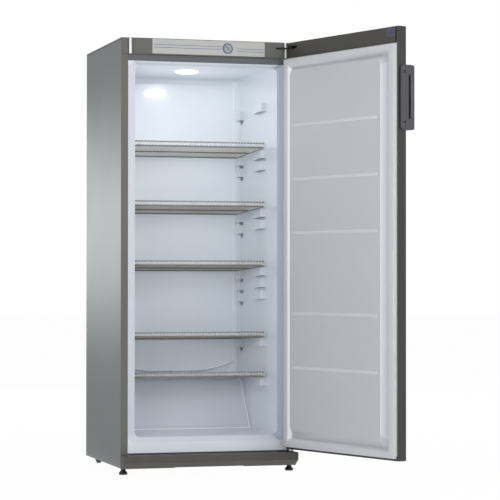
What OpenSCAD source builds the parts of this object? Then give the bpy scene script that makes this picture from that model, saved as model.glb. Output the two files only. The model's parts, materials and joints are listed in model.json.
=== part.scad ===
// Upright commercial refrigerator with one reversible solid door, shown open.
// Millimetres. +Z is up, the front faces -Y, and the floor is z = 0.
// The origin is on the floor, midway across the cabinet, in the plane of its front flange.

/* [Cabinet] */
// Outside width of the cabinet
cab_w = 600; // [580:5:640]
// Height from the floor to the top of the fascia
cab_h = 1450; // [1400:10:1520]
// Depth from the front flange to the rear edges of the side panels
cab_d = 550; // [535:5:600]
// Thickness of the sheet steel
sheet_t = 1; // [0.8:0.1:1.2]
// Height of the side panels' lower edges above the floor
panel_lift = 21; // [19:1:26]
// Width of the steel flange down each side of the front
flange_w = 24; // [20:1:28]
// Depth of the turned-in rear edge of a side panel
hem_w = 14; // [8:1:20]
// Distance that the rear wall panel is set in from the rear edges
back_recess = 20; // [16:1:24]

/* [Compartment] */
// Thickness of a side wall at the mouth
side_wall = 52.5; // [47.5:0.5:60]
// Height of the compartment floor above the ground
room_floor = 122; // [118:1:130]
// Distance from the top of the fascia down to the compartment ceiling
ceiling_drop = 86; // [82:1:100]
// Depth of foam between the compartment and the rear wall panel
rear_foam = 50; // [46:1:60]
// Thickness of the moulded liner
liner_t = 2.5; // [2:0.1:3]
// Depth of the sloping band round the mouth
mouth_d = 22; // [16:1:28]
// Height of the mouth band's lower edge above the ground
mouth_z = 105; // [100:1:110]
// Inward slope of each side wall from front to back
wall_draft = 7.5; // [4:0.5:10]
// Radius of the floor and ceiling edges
room_r = 18; // [12:1:24]
// Radius of the two upright rear corners
rear_r = 38; // [28:1:45]
// Depth of the motor hump's level top
hump_d = 82; // [70:1:95]
// Depth of the hump's slope from its foot to its top edge
hump_run = 90; // [70:1:110]
// Height of the hump's top above the ground
hump_z = 292; // [280:1:293]
// How far the cold wall stands out of the rear wall
cold_t = 8; // [6:0.5:10]
// Height of the lowest point of the cold wall
gutter_z = 321; // [316:1:330]
// Rise of the gutter from its middle to its ends
gutter_rise = 32; // [20:1:40]

/* [Shelves] */
// Gap between a shelf and each side wall at the mouth
shelf_side = 16.5; // [15:0.5:21]
// Gap between the shelves and the rear wall
shelf_rear = 25; // [20:1:40]
// Height by which the front of a shelf stands above its rear
shelf_rise = 16; // [8:1:20]
// Distance from the front flange to the front of the shelves
shelf_y = 105; // [95:1:110]
// Height of the upturned front lip
lip_h = 12; // [10:1:20]
// Diameter of the frame rods
rod_d = 5; // [4:0.5:6]
// Diameter of the thin wires
wire_d = 3; // [2:0.5:3.5]
// Number of wires that run from front to back
wire_n = 42; // [30:1:44]
// Spacing of the shelf levels moulded in the walls
level_pitch = 40.5; // [38:0.5:42]
// Height of the lowest moulded level above the ground
level_z = 296; // [294:1:300]
// Height of the second moulded level above the ground
level_2_z = 433; // [428:1:440]
// Height of a moulded ledge
ledge_h = 29; // [16:1:32]
// How far a ledge reaches in under the shelf
ledge_hold = 5; // [4:0.5:7]

/* [Door] */
// Angle at which the door stands open
door_open = 108.5; // [90:0.5:110]
// Thickness of the door from its outer skin to its inner band
door_t = 35; // [32:1:40]
// Gap between the door's inner band and the front flange when the door is shut
door_gap = 19; // [18:0.5:21]
// Height of the door's lower edge above the ground
door_z = 75.2; // [75:0.2:80]
// Distance from the top of the fascia down to the top of the door
door_drop = 3; // [2:0.5:6]
// Radius of the door's outer upright edges
door_r = 6; // [5:0.5:8]
// Height of the plastic cap along the top of the door
top_cap_h = 52; // [48:1:56]
// Height of the plastic cap along the bottom of the door
low_cap_h = 15; // [12:1:18]
// Distance from the hinge axis to the door's hinge side
hinge_in = 17; // [16:0.5:18]
// Distance from the front flange to the hinge axis
hinge_y = 27.5; // [27:0.5:28.5]
// Radius of the hinge pins
pin_r = 4; // [3.5:0.1:4.5]
// Height of the raised field of the door liner
plateau_t = 25; // [20:1:28]
// Width of the gasket
seal_w = 23; // [20:0.5:24]

/* [Handle] */
// Height of the handle
handle_h = 206; // [190:1:230]
// Distance from the top of the fascia down to the handle's upper end
handle_drop = 125; // [100:1:300]
// How far the handle stands out in front of the door
handle_out = 29; // [28:1:36]
// Width of the grip, seen from the front
grip_w = 26; // [22:1:30]
// Thickness of the grip bar
grip_t = 9.5; // [9:0.5:12]
// Distance between the two handle screws
screw_gap = 159; // [140:1:170]

/* [Fascia] */
// Height of the fascia
fascia_h = 55; // [53:1:58]
// Distance that the middle of the fascia stands in front of the flange
fascia_out = 8; // [7:0.5:9]
// Width of the control plate
plate_w = 390; // [360:1:400]
// Height of the control plate
plate_h = 49; // [46:0.5:50]
// Distance of the knob to the right of the middle
knob_x = 65; // [20:1:120]
// Diameter of the knob
knob_d = 26; // [22:1:30]
// Height of the grey rail below the fascia
rail_h = 21; // [19:1:22]

/* [Base] */
// Height of the top of the kickplate
kick_z = 66; // [64:1:68]
// How far the kickplate stands in front of the flange
kick_out = 55; // [50:1:58]
// Height of the kickplate's fold above the ground
kick_fold = 41.5; // [38:0.5:46]
// Radius of a front foot's pad
foot_r = 14.5; // [12:0.5:16]
// Distance of the feet in from the sides of the cabinet
foot_in = 12; // [11:0.5:14]
// Distance of the front feet behind the flange
foot_y = 13; // [12:1:18]
// Radius of a rear roller
roller_r = 16; // [14:0.5:17]
// Distance of the rollers in from the rear edges
roller_in = 80; // [72:1:95]

/* [Cooling unit] */
// Radius of the compressor shell
pot_r = 68; // [60:1:70]
// Height of the compressor shell
pot_h = 150; // [130:1:155]
// Distance of the compressor to the right of the middle
pot_x = 70; // [40:1:110]
// Number of runs of the condenser tube
coil_n = 16; // [10:2:18]
// Number of upright wires on each side of the condenser
fin_n = 46; // [20:1:60]
// Distance from the rear edges of the side panels to the wall stops' faces
stop_out = 19; // [14:1:30]

/* [Hidden] */
$fn = 48;
fit = 0.3;                       // gap between seated pieces
run = 0.05;                      // radial clearance of a turning fit
eps = 1;                         // overcut of a through hole
half_w = cab_w / 2;
inner_w = half_w - sheet_t - 0.2;
room_w = cab_w - 2 * side_wall;
room_back = cab_d - back_recess - rear_foam;
fascia_z = cab_h - fascia_h;
head_y = 50;                     // front of the foam above the ceiling's level
rail_z = fascia_z - rail_h;
room_top = cab_h - ceiling_drop;
mouth_w = cab_w - 2 * flange_w - 2 * fit;
mouth_top = rail_z - fit;
mouth_r = room_r + 10;
wall_back = room_w / 2 - wall_draft;
back_y = cab_d - back_recess;
foam_z = kick_z + 5;
top_rim = 6;
hump_top_y = room_back - hump_d;
hump_y = hump_top_y - hump_run;
hump_rise = hump_z - room_floor;
hump_len = norm([hump_run, hump_rise]);
hump_gap = 42;                   // foam between the hump and the motor space
bay_top = hump_z - hump_gap;
bay_shift = (hump_gap * hump_len - hump_gap * hump_run) / hump_rise;
bay_foot_y = hump_y + bay_shift - (room_floor - hump_gap - foam_z) * hump_run / hump_rise;
cold_top = room_top - 20;
cold_flat = 90;                  // half length of the gutter's level middle
cold_edge = room_w / 2 - 25.5;
evap_n = 8;
evap_pitch = floor((cold_top - gutter_z - 180) / (evap_n - 1));
lip_out = 8;                     // how far the gutter lip stands out of the cold wall
lip_t = 5;
drain_r = 7;
lamp = [-21, 210];
lamp_r = 42;
lamp_well_r = 34;
lamp_well_h = 28;
dome_h = 9;
cover_y = 14;                    // front edge of the top cover
header_d = 13;                   // depth of the header rail
level_steps = [0, 4, 5, 6, 10, 11, 15, 16, 20];
levels = concat([level_z], [for (k = level_steps) level_2_z + k * level_pitch]);
shelf_levels = [16, 11, 6, 0];   // steps of the four upper shelves
shelf_w = room_w - 2 * shelf_side;
shelf_d = room_back - shelf_rear - shelf_y;
ledge_in = shelf_w / 2 - ledge_hold;
front_ledge = [144, 241];
rear_ledge = [room_back - 75, room_back - 28];
door_w = cab_w;
door_top = cab_h - door_drop;
door_in = -door_gap;             // y of the shut door's inner band
door_out = -door_gap - door_t;
hinge_x = half_w - hinge_in;
cap_z = door_top - top_cap_h;
low_cap_top = door_z + low_cap_h;
slot_x = [hinge_x - 42, hinge_x + 1];
cover_z = [door_top - 30, door_top - 4];
slot_y = door_out + 6;
seal_in = 6;                     // distance of the gasket in from the door's edges
seal_z = [door_z + 9, cap_z - 6];
seal_t = door_gap - 2 - 0.5;
liner_y = door_in + 2;           // face of the door liner's flange
plateau = [door_w / 2 - 57, seal_z[0] + 56, seal_z[1] - 41];
plateau_foot = [door_w / 2 - 41, seal_z[0] + seal_w + 2, seal_z[1] - seal_w - 2];
rib_z = [352, 533, 802, 982, 1163];
rib_r = 6;
rib_out = 3;
rib_x = plateau[0] - 21;
handle_t = 6;                    // thickness of the handle's base
handle_base = 28;                // overlap of the handle on the door's side
handle_z = cab_h - handle_drop - handle_h;
grip_gap = 16.5;
screw_y = door_out + 13;
screw_z = [handle_z + 25, handle_z + 25 + screw_gap];
bush_r = 7;
knob_z = cab_h - 27;
knob_h = 10.5;
pocket_w = cab_w - 71;
bead_r = 4.5;
fascia_end = 2;                  // how far the fascia's two ends stand out
pocket_t = 3;
plate_t = 1.5;
plate_y = -fascia_out + pocket_t;
spindle_r = 3;
arm_z = cab_h - 22;
arm_t = 3;
slot_z = [arm_z - 3, arm_z + arm_t + 4];
pivot_r = 8;
kick_low = panel_lift - 1.5;
kick_t = 2.5;
kick_back = 18;
notch = [-121, 117];
frame_z = panel_lift + 3;
hinge_bolts = [hinge_x - 36, hinge_x - 16];
foot_x = half_w - foot_in;
stem_r = 5;
roller_x = half_w - 28.5;
roller_w = 14;
axle_r = 3;
bed_z = panel_lift + 6;
bed_y = room_back - 128;
roller_y = cab_d - roller_in;
pot_y = cab_d - pot_r - 14;
pot_z = bed_z + 20;
tray_z = pot_z + pot_h + fit;
tray_top = tray_z + 26;
mount_gap = 55;
mount_x = [pot_x - mount_gap, pot_x + mount_gap];
mount_y = [pot_y - mount_gap, pot_y + mount_gap];
suction = [230, pot_y + 20];
drier = [-150, pot_y + 30];
capillary_x = -120;
tube_r = 2.5;
pipe_r = 4;
cap_r = 1.2;
coil_y = back_y + sheet_t + 12;
coil_w = cab_w - 120;
coil_low = bay_top + 120;
coil_pitch = floor((cab_h - 80 - coil_low) / (coil_n - 1));
coil_z = [coil_low, coil_low + coil_pitch * (coil_n - 1)];
coil_run = coil_w - coil_pitch;
fin_span = coil_run - 40;
clip_x = fin_span / 2 + 4;
fin_t = 1.6;
stop_x = 190;

// Helpers

function unit(v) = v / norm(v);

// points of one rounded polygon corner b, met from a and left towards c
function corner(a, b, c, r, n) =
  let (u = unit(a - b), v = unit(c - b), h = acos(u * v) / 2,
       o = b + unit(u + v) * r / sin(h),
       s = b + u * r / tan(h) - o, e = b + v * r / tan(h) - o,
       a0 = atan2(s[1], s[0]), d = atan2(e[1], e[0]) - a0,
       sweep = d > 180 ? d - 360 : d < -180 ? d + 360 : d)
  [for (k = [0:n]) o + r * [cos(a0 + sweep * k / n), sin(a0 + sweep * k / n)]];

// polygon points with each corner rounded to its own radius
function rounded(pts, radii, n = 6) =
  let (m = len(pts))
  [for (i = [0:m - 1]) each radii[i] <= 0 ? [pts[i]] :
    corner(pts[(i + m - 1) % m], pts[i], pts[(i + 1) % m], radii[i], n)];

module block(lo, hi) {
  translate(lo) cube(hi - lo);
}

// a flat outline in x and z, made solid from y0 to y1
module along_y(y0, y1) {
  translate([0, y1, 0]) rotate([90, 0, 0]) linear_extrude(y1 - y0) children();
}

// a flat outline in y and z, made solid from x0 to x1
module along_x(x0, x1) {
  translate([x0, 0, 0]) rotate([90, 0, 90]) linear_extrude(x1 - x0) children();
}

// a flat outline in x and y, made solid from z0 to z1
module along_z(z0, z1) {
  translate([0, 0, z0]) linear_extrude(z1 - z0) children();
}

module round_rect(lo, hi, r) {
  translate([lo[0] + r, lo[1]]) square([hi[0] - lo[0] - 2 * r, hi[1] - lo[1]]);
  translate([lo[0], lo[1] + r]) square([hi[0] - lo[0], hi[1] - lo[1] - 2 * r]);
  for (x = [lo[0] + r, hi[0] - r], y = [lo[1] + r, hi[1] - r])
    translate([x, y]) circle(r);
}

module rod_y(x, y0, y1, z, r) {
  translate([x, y0, z]) rotate([-90, 0, 0]) cylinder(y1 - y0, r, r);
}

module rod_x(x0, x1, y, z, r) {
  translate([x0, y, z]) rotate([0, 90, 0]) cylinder(x1 - x0, r, r);
}

module rod_z(x, y, z0, z1, r) {
  translate([x, y, z0]) cylinder(z1 - z0, r, r);
}

// half ring of tube in the x-z plane, bulging towards +x, or -x where turn is 180
module u_bend(at, ring_r, r, turn) {
  translate(at) rotate([0, turn, 0]) rotate([90, 0, 0]) rotate([0, 0, -90])
    rotate_extrude(angle = 180) translate([ring_r, 0]) circle(r);
}

// tube of n level runs joined by end bends
module serpentine(n, w, y, z0, pitch, r) {
  for (k = [0:n - 1]) rod_x(-w / 2, w / 2, y, z0 + k * pitch, r);
  for (k = [0:n - 2])
    u_bend([(k % 2 == 0 ? 1 : -1) * w / 2, y, z0 + (k + 0.5) * pitch], pitch / 2, r,
      k % 2 == 0 ? 0 : 180);
}

module both_sides() {
  children();
  mirror([1, 0, 0]) children();
}

// turns a piece drawn on the shut door to where the open door holds it
module on_door() {
  translate([hinge_x, -hinge_y, 0]) rotate([0, 0, door_open])
    translate([-hinge_x, hinge_y, 0]) children();
}

// Compartment shape, grown by g on every wall

module room_plan(g) {
  e = room_back - rear_r;
  side = room_w / 2 + g;
  polygon([[-side, mouth_d - eps], [side, mouth_d - eps], [wall_back + g, e],
    [wall_back - rear_r, room_back + g], [rear_r - wall_back, room_back + g],
    [-wall_back - g, e]]);
  both_sides() translate([wall_back - rear_r, e]) circle(rear_r + g);
}

function room_side(g) =
  let (shift = g * (hump_len - hump_run) / hump_rise)
  rounded([[mouth_d - eps, room_floor - g], [hump_y + shift, room_floor - g],
    [hump_top_y + shift, hump_z - g], [room_back + g, hump_z - g],
    [room_back + g, room_top + g], [mouth_d - eps, room_top + g]],
    [0, 30, 16, 0, 24, 0]);

module mouth(g) {
  hull() {
    along_y(g > 0 ? 0 : -0.5, g > 0 ? g : -0.4)
      round_rect([-mouth_w / 2, mouth_z], [mouth_w / 2, mouth_top], mouth_r, $fn = 32);
    along_y(mouth_d + g / 2 - 0.1, mouth_d + g / 2)
      round_rect([-room_w / 2 - g, room_floor - g], [room_w / 2 + g, room_top + g],
        room_r + g, $fn = 32);
  }
}

module room(g) {
  intersection() {
    linear_extrude(cab_h) room_plan(g);
    along_x(-half_w, half_w) polygon(room_side(g));
    along_y(mouth_d - eps, room_back + g + eps)
      round_rect([-room_w / 2 - g, room_floor - g], [room_w / 2 + g, room_top + g], room_r + g);
  }
  mouth(g);
}

function smile(x) = gutter_z + gutter_rise * pow(max(0, abs(x) - cold_flat) / (cold_edge - cold_flat), 1.6);

// the cold wall, with its smile-shaped lower edge, drawn in by g
module cold_wall(g) {
  along_y(room_back - cold_t + g, room_back + 2 * cold_t)
    polygon(concat([[half_w, cold_top - g], [-half_w, cold_top - g]],
      [for (x = [-half_w, each [-cold_edge:12:cold_edge], half_w])
        [x, smile(min(max(x, -cold_edge), cold_edge)) + g]]));
}

module gutter_lip() {
  intersection() {
    along_y(room_back - cold_t - lip_out, room_back)
      polygon(concat([for (x = [-cold_edge:12:cold_edge]) [x, smile(x)]],
        [for (x = [cold_edge:-12:-cold_edge]) [x, smile(x) + lip_t]]));
    linear_extrude(cab_h) room_plan(liner_t / 2);
  }
}

// height at depth y of the slope on which a shelf of level z lies
function slope_z(z, y) = z + shelf_rise * (shelf_y + shelf_d - y) / shelf_d;

// a ledge with its top along that slope
module ledge(y0, y1, z) {
  translate([0, y1, slope_z(z, y1)]) rotate([-atan(shelf_rise / shelf_d), 0, 0])
    translate([0, -y1, -ledge_h]) linear_extrude(ledge_h)
      polygon(rounded([[room_w / 2 + 5, y0], [ledge_in, y0], [ledge_in, y1],
        [room_w / 2 + 5, y1]], [0, 6, 6, 0]));
}

module ledges() {
  intersection() {
    both_sides() for (z = levels) {
      ledge(front_ledge[0], front_ledge[1], z);
      ledge(rear_ledge[0], rear_ledge[1], z);
    }
    linear_extrude(cab_h) room_plan(liner_t / 2);
    along_x(-half_w, half_w) polygon(room_side(liner_t / 2));
  }
}

// Cabinet

module side_panel() {
  along_z(panel_lift, cab_h - top_rim - fit)
    polygon([[half_w, 0], [half_w, cab_d], [half_w - hem_w, cab_d],
      [half_w - hem_w, cab_d - sheet_t], [half_w - sheet_t, cab_d - sheet_t],
      [half_w - sheet_t, 0]]);
  block([half_w - flange_w, 0, kick_z + fit], [half_w - sheet_t / 2, sheet_t, fascia_z]);
}

module side_panel_left() {
  color([0.62, 0.63, 0.62]) mirror([1, 0, 0]) side_panel();
}

module side_panel_right() {
  color([0.62, 0.63, 0.62]) side_panel();
}

module top_cover() {
  color([0.35, 0.35, 0.34]) difference() {
    block([-half_w, cover_y, cab_h - top_rim], [half_w, cab_d, cab_h]);
    block([-inner_w, cover_y - eps, cab_h - top_rim - eps],
      [inner_w, cab_d - sheet_t, cab_h - 2 * sheet_t]);
  }
}

module rear_wall_panel() {
  color([0.72, 0.73, 0.74]) difference() {
    union() {
      block([-inner_w, back_y, bay_top], [inner_w, back_y + sheet_t, cab_h - top_rim - fit]);
      both_sides() block([inner_w - sheet_t, back_y, bay_top],
        [inner_w, back_y + 12, cab_h - top_rim - fit]);
    }
    rod_y(0, back_y - eps, back_y + sheet_t + eps, gutter_z - 2, drain_r + fit);
  }
}

module floor_pan() {
  t = sheet_t;
  slope = (bay_top - foam_z) * hump_run / hump_rise;
  color([0.6, 0.61, 0.62]) difference() {
    along_x(-inner_w, inner_w)
      polygon([[t + fit, foam_z - t], [bay_foot_y, foam_z - t],
        [bay_foot_y + slope, bay_top - t], [back_y + t, bay_top - t],
        [back_y + t, bay_top - fit], [bay_foot_y + slope - 1.5 * t, bay_top - fit],
        [bay_foot_y - 1.5 * t, foam_z - fit], [t + fit, foam_z - fit]]);
    rod_z(suction[0], suction[1], bay_top - 2, bay_top + eps, pipe_r + fit);
    rod_z(capillary_x, drier[1], bay_top - 2, bay_top + eps, cap_r + fit);
  }
}

module insulation() {
  slope = (bay_top - foam_z) * hump_run / hump_rise;
  foot = bay_foot_y - 1.5 * sheet_t - fit;
  color([0.93, 0.88, 0.62]) difference() {
    union() {
      block([-inner_w + fit, liner_t + 1, foam_z], [inner_w - fit, back_y - fit, fascia_z]);
      block([-inner_w + fit, head_y, fascia_z - 1],
        [inner_w - fit, back_y - fit, cab_h - top_rim - fit]);
    }
    room(liner_t + fit);
    along_x(-half_w, half_w)
      polygon([[foot, foam_z - eps], [foot, foam_z], [foot + slope, bay_top],
        [cab_d, bay_top], [cab_d, foam_z - eps]]);
    rod_y(0, room_back, back_y, gutter_z - 2, drain_r + fit);
    rod_z(suction[0], suction[1], bay_top - eps, bay_top + 23, pipe_r + fit);
    rod_z(capillary_x, drier[1], bay_top - eps, bay_top + 23, cap_r + fit);
    rod_z(lamp[0], lamp[1], room_top, room_top + lamp_well_h + 4, lamp_well_r + 2);
    block([-half_w, 0, rail_z - 1], [half_w, header_d + sheet_t + fit, cab_h]);
  }
}

module inner_liner() {
  color([0.93, 0.95, 0.97]) {
    difference() {
      union() {
        difference() {
          room(liner_t);
          cold_wall(liner_t);
        }
        block([-mouth_w / 2, 0, foam_z], [mouth_w / 2, liner_t, mouth_z + mouth_r]);
        block([-mouth_w / 2, 0, mouth_top - mouth_r], [mouth_w / 2, liner_t, mouth_top]);
      }
      difference() {
        room(0);
        cold_wall(0);
      }
      rod_z(lamp[0], lamp[1], room_top - eps, room_top + liner_t + eps, lamp_well_r);
      rod_y(0, room_back - cold_t - eps, room_back + liner_t + eps, gutter_z - 2, drain_r + fit);
    }
    difference() {
      gutter_lip();
      rod_y(0, 0, room_back + eps, gutter_z - 2, drain_r + fit);
    }
    ledges();
  }
}

module evaporator() {
  y = room_back - cold_t + liner_t + fit;
  plate = 1.2;
  color([0.75, 0.76, 0.78]) {
    block([-cold_edge + 20, y, gutter_z + gutter_rise + 10],
      [cold_edge - 20, y + plate, cold_top - 12]);
    serpentine(evap_n, 2 * cold_edge - 164, y + plate + tube_r - run, gutter_z + 90, evap_pitch,
      tube_r);
  }
}

module drain_spout() {
  color([0.85, 0.86, 0.88]) difference() {
    rod_y(0, room_back - cold_t - lip_out / 2, back_y + 14, gutter_z - 2, drain_r);
    rod_y(0, room_back - 2 * cold_t, back_y + 15, gutter_z - 2, drain_r - 1.5);
  }
}

module drain_hose() {
  y = back_y + 14 + fit;
  z = gutter_z - 2;
  turn_r = 10;
  color([0.2, 0.2, 0.2]) difference() {
    union() {
      translate([0, y, z - turn_r]) rotate([90, 0, 90]) rotate_extrude(angle = 90)
        translate([turn_r, 0]) circle(drain_r);
      rod_z(0, y + turn_r, tray_top - 18, z - turn_r, drain_r);
      for (k = [0:6])
        rod_z(0, y + turn_r, z - turn_r - 10 - 8 * k, z - turn_r - 6 - 8 * k, drain_r + 1.2);
    }
    translate([0, y, z - turn_r]) rotate([90, 0, 90]) rotate_extrude(angle = 90)
      translate([turn_r, 0]) circle(drain_r - 1.5);
    rod_z(0, y + turn_r, tray_top - 20, z - turn_r, drain_r - 1.5);
  }
}

module lamp_holder() {
  t = 2;
  r = lamp_well_r - fit;
  color([0.9, 0.9, 0.9]) translate([lamp[0], lamp[1], room_top]) {
    difference() {
      cylinder(lamp_well_h, r, r);
      translate([0, 0, -eps]) cylinder(lamp_well_h - t + eps, r - t, r - t);
    }
    translate([0, 0, lamp_well_h - t - 6]) cylinder(6.5, 9, 9);
  }
}

module lamp_bulb() {
  z = room_top + lamp_well_h - 8 - run;
  color([1, 0.98, 0.9]) translate([lamp[0], lamp[1], z]) rotate_extrude()
    polygon(concat([[0, 0], [7, 0], [7, -6]],
      [for (a = [50:-20:-70]) [11 * cos(a), -15 + 11 * sin(a)]], [[0, -26]]));
}

module lamp_cover() {
  h = dome_h;
  t = 2;
  color([0.97, 0.98, 1]) translate([lamp[0], lamp[1], room_top - fit]) rotate_extrude()
    polygon(concat([for (a = [0:9:81]) [lamp_r * cos(a), -h * sin(a)]], [[0, -h], [0, t - h]],
      [for (a = [81:-9:0]) [(lamp_r - t) * cos(a), -(h - t) * sin(a)]]));
}

module header_rail() {
  t = sheet_t;
  top = cab_h - top_rim - fit;
  color([0.43, 0.43, 0.42]) difference() {
    along_x(-half_w + flange_w + fit, half_w - flange_w - fit)
      polygon([[0, rail_z], [header_d + t, rail_z], [header_d + t, rail_z + t],
        [t, rail_z + t], [t, fascia_z - t], [header_d, fascia_z - t], [header_d, top],
        [header_d - t, top], [header_d - t, fascia_z], [0, fascia_z]]);
    block([knob_x - 26, t + eps, knob_z - 18], [knob_x + 26, header_d + eps, cab_h]);
    for (x = hinge_bolts) rod_y(x, t + eps, header_d + eps, arm_z - 14, 2.2);
  }
}

module fascia() {
  t = 2.5;
  lo = fascia_z + fit;
  bead_x = pocket_w / 2 + bead_r + 1;
  color([0.43, 0.42, 0.41]) difference() {
    union() {
      along_y(-fascia_end, -run) upright(-half_w, half_w, lo, cab_h);
      along_y(-fascia_out, -fascia_end)
        round_rect([-bead_x - bead_r, lo], [bead_x + bead_r, cab_h], 1.5);
      block([fit - inner_w, -0.5, cab_h - top_rim + 1], [inner_w - fit, cover_y - fit, cab_h]);
      both_sides() {
        block([inner_w - t, -0.5, lo], [inner_w - fit, header_d - 3, cab_h - 1]);
        rod_z(bead_x, -fascia_out + bead_r / 2, lo + 1, cab_h - 1, bead_r);
      }
    }
    along_y(-fascia_out - 5, -fascia_out + pocket_t)
      round_rect([-pocket_w / 2, lo + 2], [pocket_w / 2, cab_h + 9], 8);
    both_sides() block([pocket_w / 2 - 8, -fascia_out, lo + 6],
      [pocket_w / 2 - 1, -fascia_out + pocket_t + 1.5, cab_h + eps]);
    rod_y(knob_x, -fascia_out, eps, knob_z, 6);
    block([hinge_x - 48, -fascia_out - 6, arm_z - 1.5],
      [half_w + eps, eps, arm_z + arm_t + 1.5]);
  }
}

module upright(x0, x1, z0, z1) {
  translate([x0, z0]) square([x1 - x0, z1 - z0]);
}

module control_plate() {
  z0 = knob_z + 25 - plate_h;
  color([0.78, 0.78, 0.76]) difference() {
    along_y(plate_y - plate_t - run, plate_y - run)
      round_rect([-plate_w / 2, z0], [plate_w / 2, z0 + plate_h], 1.5);
    rod_y(knob_x, plate_y - plate_t - eps, plate_y + eps, knob_z, 6);
  }
}

module thermostat() {
  color([0.85, 0.85, 0.8]) difference() {
    union() {
      block([knob_x - 22, fit, knob_z - 16], [knob_x + 22, 36, knob_z + 16]);
      rod_y(knob_x, plate_y - plate_t, 1, knob_z, 5.5);
    }
    rod_y(knob_x, plate_y - plate_t - eps, 20, knob_z, spindle_r + run);
  }
}

module control_knob() {
  face = plate_y - plate_t - 2 * run - fit;
  color([0.3, 0.3, 0.32]) {
    rod_y(knob_x, face - knob_h + 4, face, knob_z, knob_d / 2);
    rod_y(knob_x, face - eps, 18, knob_z, spindle_r);
    translate([knob_x, face - knob_h + 4, knob_z]) rotate([0, 45, 0])
      block([1.5 - knob_d / 2, -4, -3.2], [knob_d / 2 - 1.5, 0.5, 3.2]);
  }
}

// flat arm that carries a hinge pin, with its rear edge at y
module hinge_arm(z, y, front) {
  along_z(z, z + arm_t) {
    translate([hinge_x, -hinge_y]) circle(pivot_r);
    polygon([[hinge_x - pivot_r, -hinge_y], [hinge_x + pivot_r, -hinge_y],
      [hinge_x + pivot_r, y], [hinge_x - 40, y], [hinge_x - 40, front]]);
  }
}

module top_hinge() {
  y = header_d - sheet_t - run;
  color([0.72, 0.72, 0.74]) {
    difference() {
      union() {
        hinge_arm(arm_z, y, -fascia_out);
        block([hinge_x - 42, y - arm_t, arm_z - 26], [hinge_x + pivot_r, y, arm_z + arm_t]);
      }
      for (x = hinge_bolts) rod_y(x, 0, y + eps, arm_z - 14, 2.7);
    }
    rod_z(hinge_x, -hinge_y, arm_z - 27, arm_z + arm_t + 1.5, pin_r);
  }
}

module bottom_hinge() {
  z = kick_z + fit;
  color([0.72, 0.72, 0.74]) {
    difference() {
      union() {
        hinge_arm(z, -fit, -10);
        block([hinge_x - 40, -fit - arm_t, panel_lift + 10], [hinge_x + pivot_r, -fit, z + arm_t]);
      }
      for (x = hinge_bolts) rod_y(x, -fit - arm_t - eps, eps, panel_lift + 24, 2.7);
    }
    rod_z(hinge_x, -hinge_y, z, low_cap_top - 3, pin_r);
  }
}

module hinge_screw(x, y, z, long) {
  rod_y(x, y - 2.4, y - run, z, 4.6);
  rod_y(x, y - 1, y + long, z, 2.1);
}

module hinge_screws() {
  color([0.6, 0.6, 0.62]) for (x = hinge_bolts) {
    hinge_screw(x, header_d - sheet_t - arm_t - run, arm_z - 14, 11);
    hinge_screw(x, -fit - arm_t, panel_lift + 24, 14);
  }
}

module base_frame() {
  web = [roller_x - roller_w / 2 - 3.5, roller_x - roller_w / 2 - 1];
  top = foam_z - sheet_t - fit;
  color([0.25, 0.25, 0.26]) difference() {
    union() {
      both_sides() {
        block([web[0], fit, frame_z], [inner_w - fit, cab_d - 4, frame_z + 2.5]);
        block([web[0], fit, frame_z], [web[1], bay_foot_y - 2, top]);
        block([web[0], bay_foot_y - 3, frame_z], [web[1], cab_d - 4, frame_z + 22]);
        block([web[0], fit, frame_z], [inner_w - fit, 30, top]);
        for (x = [web[0], roller_x + roller_w / 2 + 1])
          block([x, roller_y - 9, roller_r - 7], [x + 2.5, roller_y + 9, frame_z + 1]);
      }
      block([-web[1], fit, frame_z], [web[1], 3.3, top]);
      block([-web[1], bed_y, frame_z], [web[1], cab_d - 4, bed_z]);
      for (x = mount_x, y = mount_y) rod_z(x, y, bed_z - 1, bed_z + 2, 9);
    }
    both_sides() {
      rod_z(foot_x, foot_y, frame_z - eps, foam_z, stem_r + run);
      block([half_w - flange_w - fit, -eps, kick_z], [half_w, sheet_t + fit, foam_z]);
      block([roller_x - roller_w / 2 - 1, roller_y - roller_r - 3, frame_z - eps],
        [roller_x + roller_w / 2 + 1, roller_y + roller_r + 3, frame_z + 5]);
      rod_x(roller_x - roller_w, roller_x + roller_w, roller_y, roller_r, axle_r + run);
    }
    for (x = mount_x, y = mount_y) rod_z(x, y, frame_z - eps, bed_z + 3, 3.2);
    for (x = hinge_bolts) rod_y(x, 0, 17, panel_lift + 24, 2.2);
  }
}

module kick_profile(g, rear) {
  low = g > 0 ? kick_low - eps : kick_low;
  polygon([[rear, kick_z - g], [g - kick_out, kick_z - g], [g - kick_out, kick_fold + g / 3],
    [g / 2 - kick_back, low], [rear, low]]);
}

module kickplate() {
  rear = -2 * fit - arm_t;
  color([0.33, 0.32, 0.3]) difference() {
    union() {
      difference() {
        along_x(-half_w, half_w) kick_profile(0, rear);
        along_x(kick_t - half_w, half_w - kick_t) kick_profile(kick_t, 5);
      }
      both_sides() block([inner_w - 90, -6, kick_low + 2], [inner_w - 80, -run, kick_z]);
    }
    block([notch[0], -kick_out, kick_low - eps], [notch[1], eps, kick_low + 3.5]);
  }
}

module front_foot() {
  z1 = frame_z - fit;
  translate([foot_x, foot_y, 0]) rotate_extrude()
    polygon([[0, 0], [foot_r - 2, 0], [foot_r, 2], [foot_r, 6], [foot_r - 1.5, 8],
      [8, 14], [8, z1], [stem_r, z1], [stem_r, z1 + 22], [0, z1 + 22]]);
}

module front_foot_left() {
  color([0.08, 0.08, 0.08]) mirror([1, 0, 0]) front_foot();
}

module front_foot_right() {
  color([0.08, 0.08, 0.08]) front_foot();
}

module rear_roller() {
  w = roller_w / 2;
  translate([roller_x, roller_y, roller_r]) rotate([0, 90, 0]) rotate_extrude()
    polygon([[axle_r + run, -w], [roller_r - 1.5, -w], [roller_r, 1.5 - w],
      [roller_r, w - 1.5], [roller_r - 1.5, w], [axle_r + run, w]]);
}

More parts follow.
